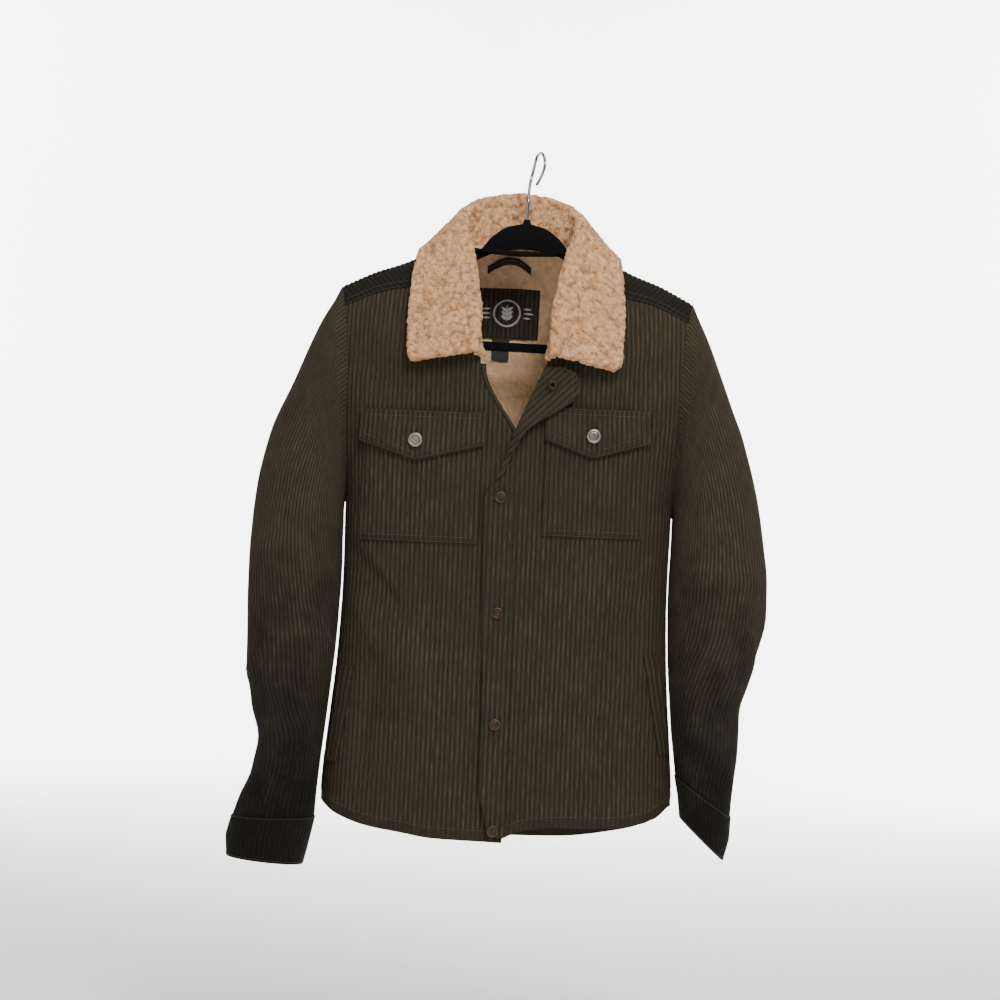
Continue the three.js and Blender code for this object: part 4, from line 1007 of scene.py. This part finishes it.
def woven_material(name, dark, light):
    """Narrow woven tape: crossing threads half a millimetre apart."""
    n = Finish(name)
    cloth = n.make("ShaderNodeUVMap", uv_map="cloth").outputs[0]
    weave = n.make("ShaderNodeTexChecker", {"Vector": cloth, "Scale": 1900.0}).outputs["Fac"]
    fuzz = n.noise(cloth, 900.0, 3)
    n.set(Base_Color=n.blend(n.range(n.math("ADD", weave, fuzz), 0.3, 1.5), dark, light), Roughness=0.85)
    n.set(Sheen_Weight=0.1)
    n.bump(weave, 0.0002, 0.6)
    return n.material


left, right, top, foot = TAB
x, z = np.meshgrid(np.linspace(left, right, 16), np.linspace(top, foot, 18))
curl = 1.6 * ease((z - top + 6) / -20) + 0.4 * np.sin((x - left) / 7)
tab = back_layer("size_tab_tape", x, z, ON_LINING + curl - 0.2, 0.8, 0, x, -z)
dress(tab, woven_material("woven_tape", rgb(24, 24, 27), rgb(52, 52, 56)), ["size_tab"])

left, right, low, rise, wide, off = LOOP
u, v = np.meshgrid(np.linspace(0, 1, 60), wale_columns(0, wide) / wide)
arch = np.sin(pi * u)
x, z = mix(left, right, u), low + rise * arch + wide * (1 - v)
relief = -wale_inset(v * wide, 0.7) * 0.6
loop = back_layer("neck_loop_cloth", x, z, ON_LINING + off * arch, 1.6, relief, v * wide, u * (right - left))
dress(loop, patch_corduroy, ["neck_loop"])


# Emblem: satin stitch in grey-white thread, a ring round a sprig of leaves with short bars beside it.
def satin_material():
    n = Finish("satin_thread")
    place = n.make("ShaderNodeTexCoord").outputs["Object"]
    threads = n.noise(n.stretched(place, (1500, 200, 2600)), 1.0, 2)
    n.set(Base_Color=n.blend(threads, rgb(126, 124, 124), rgb(206, 204, 204)), Roughness=0.55)
    n.set(Sheen_Weight=0.2)
    n.bump(threads, 0.0003, 0.8)
    return n.material


EMBLEM_CENTRE = (-19, -190)
RING_OUTER, RING_INNER = 18.0, 15.4
THREAD_RISE = 0.9


def emblem_shape(points):
    """A raised shape from its outline on the patch, with a crest in the middle of it."""
    outline = np.array(points, float)
    middle = outline.mean(0)
    crest = mix(outline, middle, 0.45)
    levels = [(outline, -0.7), (outline, 0.25), (crest, THREAD_RISE)]
    spots = [(*p, h) for line, h in levels for p in line] + [(*middle, THREAD_RISE * 1.05)]
    n = len(outline)
    faces = [[k * n + i, k * n + (i + 1) % n, (k + 1) * n + (i + 1) % n, (k + 1) * n + i]
             for k in range(2) for i in range(n)]
    faces += [[2 * n + i, 2 * n + (i + 1) % n, 3 * n] for i in range(n)]
    return spots, faces + [list(range(n))[::-1]]


def leaf(x, z, turn, length, width):
    outline = [(length * t, width * s * sin(pi * t) ** 0.8) for s, ts in
               ((1, np.linspace(0.02, 0.98, 8)), (-1, np.linspace(0.98, 0.02, 8))) for t in ts]
    return [(x + a * cos(turn) - b * sin(turn), z + a * sin(turn) + b * cos(turn)) for a, b in outline]


turns = np.linspace(0, 2 * pi, 49)
shapes = [[(r * cos(a), r * sin(a)) for r, a in
           ((RING_OUTER, a0), (RING_OUTER, a1), (RING_INNER, a1), (RING_INNER, a0))]
          for a0, a1 in zip(turns[:-1], turns[1:])]
shapes += [leaf(0, -12, radians(90), 24, 1.2)]
shapes += [leaf(0, z, radians(90 + s * 50), 9.5, 2.2) for z in (-9, -3.5, 2) for s in (1, -1)]
shapes += [leaf(s * 21, z, 0 if s > 0 else pi, length, 1.3)
           for s in (1, -1) for z, length in ((6, 10), (0, 14), (-6, 10))]
spots, faces = [], []
for shape in shapes:
    some_spots, some_faces = emblem_shape(shape)
    faces += [[k + len(spots) for k in f] for f in some_faces]
    spots += some_spots
a, b, h = np.array(spots).T
z = EMBLEM_CENTRE[1] + b
points = on_back(EMBLEM_CENTRE[0] + a, z, ON_LINING + PATCH_THICK + 0.3 + h)
emblem_mesh = bpy.data.meshes.new("emblem_thread")
emblem_mesh.from_pydata(((points - [HOOK_CONTACT_X, 0, 0]) * MM).tolist(), [], [f[::-1] for f in faces])
emblem_mesh.shade_smooth()
emblem_mesh.set_sharp_from_angle(angle=0.9)
emblem_mesh.materials.append(satin_material())
emblem = bpy.data.objects.new("emblem_thread", emblem_mesh)
bpy.context.scene.collection.objects.link(emblem)
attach(emblem, "root")

# Topstitching: olive thread in double rows on the yoke, pockets and flaps, and single rows on the
# placket, welts, cuffs and hem. Each row is a line on the cloth with a stitch every few millimetres.
STITCH_PITCH, STITCH_LENGTH, THREAD_RADIUS = 3.4, 2.5, 0.34
ROWS_APART = 6
THREAD_INSET = -0.42


def stitch_tree(material):
    """Short lengths of thread along every line of the input."""
    group = bpy.data.node_groups.new("topstitch", "GeometryNodeTree")
    group.interface.new_socket("Lines", in_out="INPUT", socket_type="NodeSocketGeometry")
    for name in ("Pitch", "Length", "Radius"):
        group.interface.new_socket(name, in_out="INPUT", socket_type="NodeSocketFloat")
    group.interface.new_socket("Stitches", in_out="OUTPUT", socket_type="NodeSocketGeometry")
    n = Tree(group)
    given = n.make("NodeGroupInput").outputs
    curves = n.make("GeometryNodeMeshToCurve", {"Mesh": given["Lines"]}).outputs[0]
    spaced = n.make("GeometryNodeResampleCurve", {"Curve": curves, "Length": given["Pitch"]}, mode="LENGTH")
    thread = n.make("GeometryNodeMeshCylinder", {"Vertices": 6, "Radius": given["Radius"],
                                                 "Depth": given["Length"]}, fill_type="TRIANGLE_FAN")
    along = n.make("GeometryNodeInputTangent").outputs[0]
    turn = n.make("FunctionNodeAlignRotationToVector", {"Vector": along}, axis="Z").outputs[0]
    placed = n.make("GeometryNodeInstanceOnPoints", {"Points": spaced.outputs[0],
                                                     "Instance": thread.outputs[0], "Rotation": turn})
    whole = n.make("GeometryNodeRealizeInstances", {"Geometry": placed.outputs[0]}).outputs[0]
    dyed = n.make("GeometryNodeSetMaterial", {"Geometry": whole, "Material": material}).outputs[0]
    n.make("NodeGroupOutput", {"Stitches": dyed})
    return group


def thread_material():
    n = Finish("olive_thread")
    place = n.make("ShaderNodeTexCoord").outputs["Object"]
    n.set(Base_Color=n.blend(n.noise(place, 300.0), rgb(26, 23, 16), rgb(56, 50, 37)), Roughness=0.7)
    return n.material


lines = []


def row(face, x, z, inset=THREAD_INSET):
    """One row of stitches through places on the body's cloth, measured from its centre line."""
    x, z, inset = np.broadcast_arrays(np.asarray(x, float), np.asarray(z, float), inset)
    lines.append(shell(face, x, z, inset))


for sign in (-1, 1):
    out = np.linspace(86, 203, 40)
    for up in (2.5, 2.5 + ROWS_APART):
        row(FRONT, sign * out, yoke_seam(out) + up)
across = np.linspace(-198, 198, 120)
for up in (2.5, 2.5 + ROWS_APART):
    row(BACK, across, BACK_YOKE_Z + up)
for side, (inner, outer, top, foot, flap_top, tip) in POCKETS.items():
    tilt = lambda x: POCKET_TILT * (x - inner)
    sign = np.sign(outer)
    for within in (1.8, 1.8 + ROWS_APART):
        a, b = inner + sign * within, outer - sign * within
        x = np.concatenate([np.full(30, a), np.linspace(a, b, 40), np.full(30, b)])
        z = np.concatenate([np.linspace(top - 20, foot + within, 30), np.full(40, foot + within),
                            np.linspace(foot + within, top - 20, 30)]) + tilt(x)
        row(FRONT, x - lean(z), z, THREAD_INSET - REST - POCKET_THICK)
        over = FLAP_OVERHANG * sign
        start, end = inner - over, outer + over
        a, b = start + sign * within, end - sign * within
        corners = [(a, 0, 0), (a, 1, 0), (tip, 1, 1), (b, 1, 0), (b, 0, 0)]
        x, z, lift = [], [], []
        for (x0, v0, p0), (x1, v1, p1) in zip(corners[:-1], corners[1:]):
            t = np.linspace(0, 1, 24)
            v, p = mix(v0, v1, t), mix(p0, p1, t)
            x.append(mix(x0, x1, t))
            z.append(flap_top + tilt(x[-1]) - v * (mix(FLAP_WING, FLAP_POINT, p) - within * 1.1))
            lift.append(FLAP_LIFT * ease(v * 0.96))
        x, z, lift = (np.concatenate(k) for k in (x, z, lift))
        row(FRONT, x - lean(z), z, THREAD_INSET - 2 * REST - POCKET_THICK - FLAP_THICK - lift)
        x = np.linspace(a, b, 50)
        z = flap_top + tilt(x) - within
        row(FRONT, x - lean(z), z, THREAD_INSET - 2 * REST - POCKET_THICK - FLAP_THICK)
z = np.linspace(-416, -822, 120)
placket_inset = THREAD_INSET - REST - PLACKET_THICK - overlap_lift(placket_edge(z) + 0.5, z)
row(FRONT, placket_edge(z) + 3, z, placket_inset)
row(FRONT, 5.5 + 0.35 * (placket_edge(z) + 28.5), z, placket_inset)
for side, sign in (("right", -1), ("left", 1)):
    out = np.linspace(front_edge[side](-815) + 4, 211, 90)
    z = hem_line[side](out) + HEM_BAND - 1
    lift = overlap_lift(out, z) if side == "left" else 0
    row(FRONT, sign * out, z, THREAD_INSET + 0.35 - lift)
across = np.linspace(-211, 211, 160)
row(BACK, across, back_hem(np.abs(across)) + HEM_BAND - 1, THREAD_INSET + 0.35)
z = np.linspace(-262, -345, 40)
row(FRONT, -(front_edge["right"](z) + 4), z)
for top_in, top_out, top_z, low_in, low_out, low_z in WELTS.values():
    v = np.linspace(0.01, 0.99, 50)
    for u in (0.12, 0.88):
        z = mix(top_z, low_z, v)
        x = mix(mix(top_in, top_out, u), mix(low_in, low_out, u), v) - lean(z)
        row(FRONT, x, z, THREAD_INSET - REST - 1.6)
for u in (0.95, 0.86):
    v = np.linspace(0.02, 0.96, 60)
    outer, _, _ = lapel_grid(np.full(60, u), v, THREAD_INSET)
    lines.append(outer)
for side, sign in (("right", -1), ("left", 1)):
    angle = np.linspace(0, 2 * pi, 121)
    for v in (0.08, 1.9):
        i = min(int(v), 1)
        rings = [np.array(r, float) for r in (SLEEVES[side][-1], *CUFFS[side])]
        section = [np.full_like(angle, c) for c in mix(rings[i], rings[i + 1], v - i)]
        proud = CUFF_PROUD * (1 - min(v, 1)) + 1.2 * sin(pi * v / 2)
        lines.append(sleeve_ring(section, sign, angle, THREAD_INSET - proud))
left, right, top, foot = PATCH
x = np.concatenate([np.linspace(left + 2, right - 2, 30), np.full(20, right - 2),
                    np.linspace(right - 2, left + 2, 30), np.full(20, left + 2)])
z = np.concatenate([np.full(30, top - 2), np.linspace(top - 2, foot + 2, 20),
                    np.full(30, foot + 2), np.linspace(foot + 2, top - 2, 20)])
lines.append(on_back(x, z, ON_LINING + PATCH_THICK + 0.2))
starts = np.cumsum([0] + [len(line) for line in lines])
line_mesh = bpy.data.meshes.new("topstitching")
line_mesh.from_pydata(((np.concatenate(lines) - [HOOK_CONTACT_X, 0, 0]) * MM).tolist(),
                      [(k, k + 1) for a, b in zip(starts[:-1], starts[1:]) for k in range(a, b - 1)], [])
thread = thread_material()
line_mesh.materials.append(thread)
stitches = bpy.data.objects.new("topstitching", line_mesh)
bpy.context.scene.collection.objects.link(stitches)
grown(stitches, stitch_tree(thread), Pitch=STITCH_PITCH * MM, Length=STITCH_LENGTH * MM,
      Radius=THREAD_RADIUS * MM)
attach(stitches, "root")

# Snaps: pressed metal caps. Four of aged bronze go down the placket, two larger bright ones hold the
# flaps, and a socket shows on the turned-back top. Their faces are plain rings.
CAP = [(0, 0.90), (0.22, 0.90), (0.42, 0.86), (0.56, 0.80), (0.62, 0.74), (0.66, 0.74), (0.70, 0.82),
       (0.78, 0.86), (0.88, 0.80), (0.95, 0.66), (1.0, 0.42), (1.0, 0.12), (0.96, 0), (0, 0)]
SOCKET = [(0, 0.2), (0.3, 0.2), (0.34, 0.6), (0.42, 0.92), (0.6, 1.0), (0.8, 0.92), (0.94, 0.66),
          (1.0, 0.3), (1.0, 0), (0, 0)]
SNAPS = [  # name, x, z, radius, height, distance from the cloth, outline, finish
    *[(f"placket_snap_{i + 1}", x, z, 7, 3, REST + PLACKET_THICK + float(overlap_lift(x, z)), CAP, "bronze")
      for i, (x, z) in enumerate([(-14, -416), (-11, -554), (-7, -686), (-3.5, -812)])],
    ("snap_socket", 39, -280, 6.5, 2, REST + CLOTH + 4.6, SOCKET, "dark"),
    ("flap_snap_right", -115, -353, 8.8, 4, 2 * REST + POCKET_THICK + FLAP_THICK + 2.4, CAP, "silver"),
    ("flap_snap_left", 89, -338, 8.8, 4, 2 * REST + POCKET_THICK + FLAP_THICK + 2.4, CAP, "silver"),
]


def snap_metal(name, low, high, roughness):
    """Pressed metal, darkened in its rings and rubbed bright on its high places."""
    n = Finish(name)
    place = n.make("ShaderNodeTexCoord").outputs["Object"]
    spots, scratches = n.noise(place, 420.0, 5, 0.7), n.noise(n.stretched(place, (2600, 900, 300)), 1.0, 2)
    edges = n.make("ShaderNodeNewGeometry").outputs["Pointiness"]
    rubbed = n.math("ADD", n.range(edges, 0.46, 0.56), n.range(spots, 0.4, 0.7, -0.3, 0.4))
    n.set(Base_Color=n.blend(rubbed, low, high), Metallic=1.0)
    n.set(Roughness=n.range(n.math("ADD", spots, scratches), 0.7, 1.4, roughness, roughness + 0.25))
    n.bump(spots, 0.0002, 0.5)
    return n.material


METALS = {
    "bronze": snap_metal("aged_bronze", rgb(34, 28, 23), rgb(90, 76, 63), 0.4),
    "dark": snap_metal("blackened_bronze", rgb(20, 17, 14), rgb(70, 60, 50), 0.5),
    "silver": snap_metal("rubbed_silver", rgb(74, 66, 59), rgb(164, 153, 144), 0.32),
}
for name, x, z, radius, height, off, outline, finish in SNAPS:
    near = lambda dx, dz: shell(FRONT, x + dx - lean(z + dz), z + dz, -off)
    toward = unit(np.cross(near(4, 0) - near(-4, 0), near(0, 4) - near(0, -4)))
    toward *= -np.sign(toward[1])
    sideways = unit(np.cross(toward, [0, 0, 1]))
    upward = np.cross(sideways, toward)
    middle = near(0, 0) + toward * SEAM
    count = 48
    around = np.linspace(0, 2 * pi, count, endpoint=False)[:, None]
    ring = np.cos(around) * sideways + np.sin(around) * upward
    points, faces = [], []
    for r, h in outline:
        points += list(middle + toward * h * height + (ring if r else ring[:1] * 0) * r * radius)
    firsts = np.cumsum([0] + [count if r else 1 for r, _ in outline])
    for k in range(len(outline) - 1):
        a, b = firsts[k], firsts[k + 1]
        for i in range(count):
            j = (i + 1) % count
            corners = [a + i, a + j, b + j, b + i]
            if outline[k][0] == 0:
                corners = [a, b + j, b + i]
            elif outline[k + 1][0] == 0:
                corners = [a + i, a + j, b]
            faces.append([int(c) for c in corners])
    mesh = bpy.data.meshes.new(name + "_cap")
    mesh.from_pydata(((np.array(points) - [HOOK_CONTACT_X, 0, 0]) * MM).tolist(), [], faces)
    mesh.shade_smooth()
    mesh.set_sharp_from_angle(angle=0.9)
    mesh.materials.append(METALS[finish])
    cap = bpy.data.objects.new(name + "_cap", mesh)
    bpy.context.scene.collection.objects.link(cap)
    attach(cap, "root")
    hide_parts(name)

# Hanger: a slim moulded body covered in short black flock, with rounded edges and an open triangle.
# Its arms carry the shoulders. A polished steel hook rises from its neck and turns away from the front.
HANGER_THICK, EDGE_ROUND = 5.6, 1.3
ARM_CLEARANCE = CLOTH + 3.8
hanger_top = curve((5, -84.8), (22, -89), (42, -103), (56, -119), (76, -124))
hanger_foot = curve((0, -115), (30, -119), (60, -132), (100, -149), (150, -171), (178, -186))
TIP = [(200, -190), (200, -208), (193, -226), (178, -238), (160, -240)]
HOLE_TIP = [(187, -198), (185, -214), (172, -229)]


def hanger_half(sign):
    near = np.linspace(5, 76, 24)
    far = np.linspace(106, 194, 12)
    under = ridge_line(np.abs(sign * far - lean(-140))) - ARM_CLEARANCE
    rounded_tip = smooth_path([(194, float(under[-1])), *TIP], 6)[1:]
    return [(sign * 3.5, -79.0), *zip(sign * near, hanger_top(near)), *zip(sign * far, under),
            *[(sign * x, z) for x, z in rounded_tip]]


def smooth_path(points, steps_between):
    """Points on a smooth line through the given ones."""
    p = np.array(points, float)
    p = np.concatenate([[2 * p[0] - p[1]], p, [2 * p[-1] - p[-2]]])
    line = []
    for k in range(1, len(p) - 2):
        for t in np.arange(steps_between) / steps_between:
            line.append(0.5 * (2 * p[k] + (p[k + 1] - p[k - 1]) * t
                               + (2 * p[k - 1] - 5 * p[k] + 4 * p[k + 1] - p[k + 2]) * t ** 2
                               + (3 * p[k] - p[k - 1] - 3 * p[k + 1] + p[k + 2]) * t ** 3))
    return line + [p[-2]]


foot_x = np.linspace(6, 178, 30)
hole = [*zip(foot_x, hanger_foot(foot_x)), *[tuple(p) for p in smooth_path(HOLE_TIP, 5)]]
outlines = [hanger_half(-1)[::-1] + hanger_half(1), [(-x, z) for x, z in hole[::-1]] + hole]
profile = bpy.data.curves.new("hanger_flock", "CURVE")
profile.dimensions, profile.fill_mode = "2D", "BOTH"
for outline in outlines:
    spline = profile.splines.new("POLY")
    spline.points.add(len(outline) - 1)
    spline.use_cyclic_u = True
    for spot, (x, z) in zip(spline.points, outline):
        spot.co = ((x - HOOK_CONTACT_X) * MM, z * MM, 0, 1)
profile.extrude = (HANGER_THICK / 2 - EDGE_ROUND) * MM
profile.bevel_depth, profile.bevel_resolution, profile.offset = EDGE_ROUND * MM, 3, -EDGE_ROUND * MM
flat = bpy.data.objects.new("hanger_outline", profile)
bpy.context.scene.collection.objects.link(flat)
bpy.context.view_layer.update()
hanger_mesh = bpy.data.meshes.new_from_object(flat.evaluated_get(bpy.context.evaluated_depsgraph_get()))
bpy.data.objects.remove(flat)
hanger_mesh.name = "hanger_flock"
hanger_mesh.transform(Matrix.Rotation(pi / 2, 4, "X"))
hanger_mesh.shade_smooth()
hanger_mesh.set_sharp_from_angle(angle=0.7)


def flock_material():
    """Short black flock: matt, with a faint bloom at the edges and lint caught here and there."""
    n = Finish("black_flock")
    place = n.make("ShaderNodeTexCoord").outputs["Object"]
    fuzz, lint = n.noise(place, 1500.0, 3, 0.7), n.noise(place, 240.0, 4, 0.75)
    tone = n.blend(fuzz, rgb(6, 6, 7), rgb(22, 22, 24))
    n.set(Base_Color=n.blend(n.range(lint, 0.66, 0.74, 0, 0.5), tone, rgb(70, 68, 66)), Roughness=1.0)
    n.set(Specular_IOR_Level=0.05, Sheen_Weight=0.25, Sheen_Roughness=0.5, Sheen_Tint=rgb(120, 120, 130))
    n.bump(fuzz, 0.0005, 0.9)
    return n.material


hanger_mesh.materials.clear()
hanger_mesh.materials.append(flock_material())
hanger = bpy.data.objects.new("hanger_flock", hanger_mesh)
bpy.context.scene.collection.objects.link(hanger)
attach(hanger, "root")
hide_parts("hanger_body")

WIRE = 1.9
HOOK_TURN = radians(-72)
HOOK_LINE = [(0, -78.5), (0, -66), (-1, -56), (-7, -46), (-15, -36), (-20, -24), (-19, -12), (-13, -2),
             (-3, 1.6), (8, 0.5), (17, -6), (21, -17), (19, -29), (13, -37)]
route = []
for out, z in HOOK_LINE:
    leaning = HOOK_CONTACT_X * float(ease((z + 64) / 56))
    route.append((out * cos(HOOK_TURN) + leaning, out * sin(HOOK_TURN), z))
route = np.array(smooth_path(route, 7))
ahead = unit(np.gradient(route, axis=0))
sideways = unit(np.cross(ahead, [cos(HOOK_TURN + pi / 2), sin(HOOK_TURN + pi / 2), 0.0]))
other = np.cross(ahead, sideways)
around = np.linspace(0, 2 * pi, 20, endpoint=False)
round_wire = [c * sideways[:, None] + s * other[:, None] for c, s in
              ((np.cos(around)[None, :, None], np.sin(around)[None, :, None]),)][0]
rings = [route[:, None] + WIRE * round_wire]
for turn in np.linspace(0, pi / 2, 5)[1:]:
    tip = route[-1] + ahead[-1] * WIRE * sin(turn) + WIRE * max(cos(turn), 0.02) * round_wire[-1]
    rings.append(tip[None])
rings = np.concatenate(rings)
n_rings, n_around = rings.shape[:2]
faces = [[i * n_around + j, i * n_around + (j + 1) % n_around, (i + 1) * n_around + (j + 1) % n_around,
          (i + 1) * n_around + j] for i in range(n_rings - 1) for j in range(n_around)]
faces += [list(range(n_around))[::-1], [(n_rings - 1) * n_around + j for j in range(n_around)]]
hook_mesh = bpy.data.meshes.new("hanger_hook_wire")
points = (rings.reshape(-1, 3) - [HOOK_CONTACT_X, 0, 0]) * MM
volume = sum(np.dot(points[f[0]], np.cross(points[f[1]], points[f[2]])) for f in faces)
hook_mesh.from_pydata(points.tolist(), [], faces if volume > 0 else [f[::-1] for f in faces])
hook_mesh.shade_smooth()
hook_mesh.set_sharp_from_angle(angle=0.9)


def steel_material():
    """Polished steel wire with faint drawing marks along it."""
    n = Finish("polished_steel")
    place = n.make("ShaderNodeTexCoord").outputs["Object"]
    marks = n.noise(n.stretched(place, (900, 900, 60)), 1.0, 3)
    n.set(Base_Color=n.blend(marks, rgb(120, 122, 126), rgb(168, 170, 174)), Metallic=1.0)
    n.set(Roughness=n.range(marks, 0.3, 0.7, 0.12, 0.26))
    n.bump(marks, 0.0001, 0.2)
    return n.material


hook_mesh.materials.append(steel_material())
hook = bpy.data.objects.new("hanger_hook_wire", hook_mesh)
bpy.context.scene.collection.objects.link(hook)
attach(hook, "root")
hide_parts("hanger_hook")

# Floor and light: a plain pale sweep under and behind the jacket, and soft light from the front.
def stage_material():
    n = Finish("pale_paper")
    place = n.make("ShaderNodeTexCoord").outputs["Object"]
    n.set(Base_Color=n.blend(n.noise(place, 3.0), rgb(244, 244, 243), rgb(248, 248, 247)), Roughness=0.9)
    return n.material


FLOOR_Z = cad_box[0][2] - 0.25
sweep_profile = [(-7.0, 0.0), (4.6, 0.0)]
sweep_profile += [(4.6 + 2 * sin(a), 2 - 2 * cos(a)) for a in np.linspace(0.1, pi / 2, 16)]
sweep_profile += [(6.6, 7.0)]
sweep = bpy.data.meshes.new("sweep")
count = len(sweep_profile)
sweep_points = [(x, y, FLOOR_Z + z) for x in (-8.0, 8.0) for y, z in sweep_profile]
sweep.from_pydata(sweep_points, [], [(i, i + count, i + count + 1, i + 1) for i in range(count - 1)])
sweep.materials.append(stage_material())
sweep.shade_smooth()
floor = bpy.data.objects.new("floor", sweep)
bpy.context.scene.collection.objects.link(floor)

LIGHTS = [  # name, place, what it is aimed at, size, power
    ("key", (0.8, -2.5, 2.0), (0, 0, -0.35), 1.1, 120), ("fill", (-1.8, -3.0, 0.0), (0, 0, -0.4), 2.4, 26),
    ("top", (0.1, -0.5, 2.2), (0, 0, -0.4), 1.6, 24),
    ("behind", (0.6, 2.6, 1.6), (0, 0, -0.4), 2.0, 60),
    ("backdrop_left", (-2.6, 4.2, 1.2), (-0.5, 6.6, -0.4), 2.0, 520),
    ("backdrop_right", (2.6, 4.2, 1.2), (0.5, 6.6, -0.4), 2.0, 520),
]
for name, place, aim, size, power in LIGHTS:
    lamp = bpy.data.lights.new(name, "AREA")
    lamp.energy, lamp.size = power, size
    light = bpy.data.objects.new(name, lamp)
    light.location = place
    light.rotation_euler = (Vector(aim) - Vector(place)).to_track_quat("-Z", "Y").to_euler()
    bpy.context.scene.collection.objects.link(light)
world = bpy.data.worlds.new("studio")
bpy.context.scene.world = world
world.use_nodes = True
world.node_tree.nodes["Background"].inputs["Color"].default_value = (1, 1, 1, 1)
world.node_tree.nodes["Background"].inputs["Strength"].default_value = 0.35
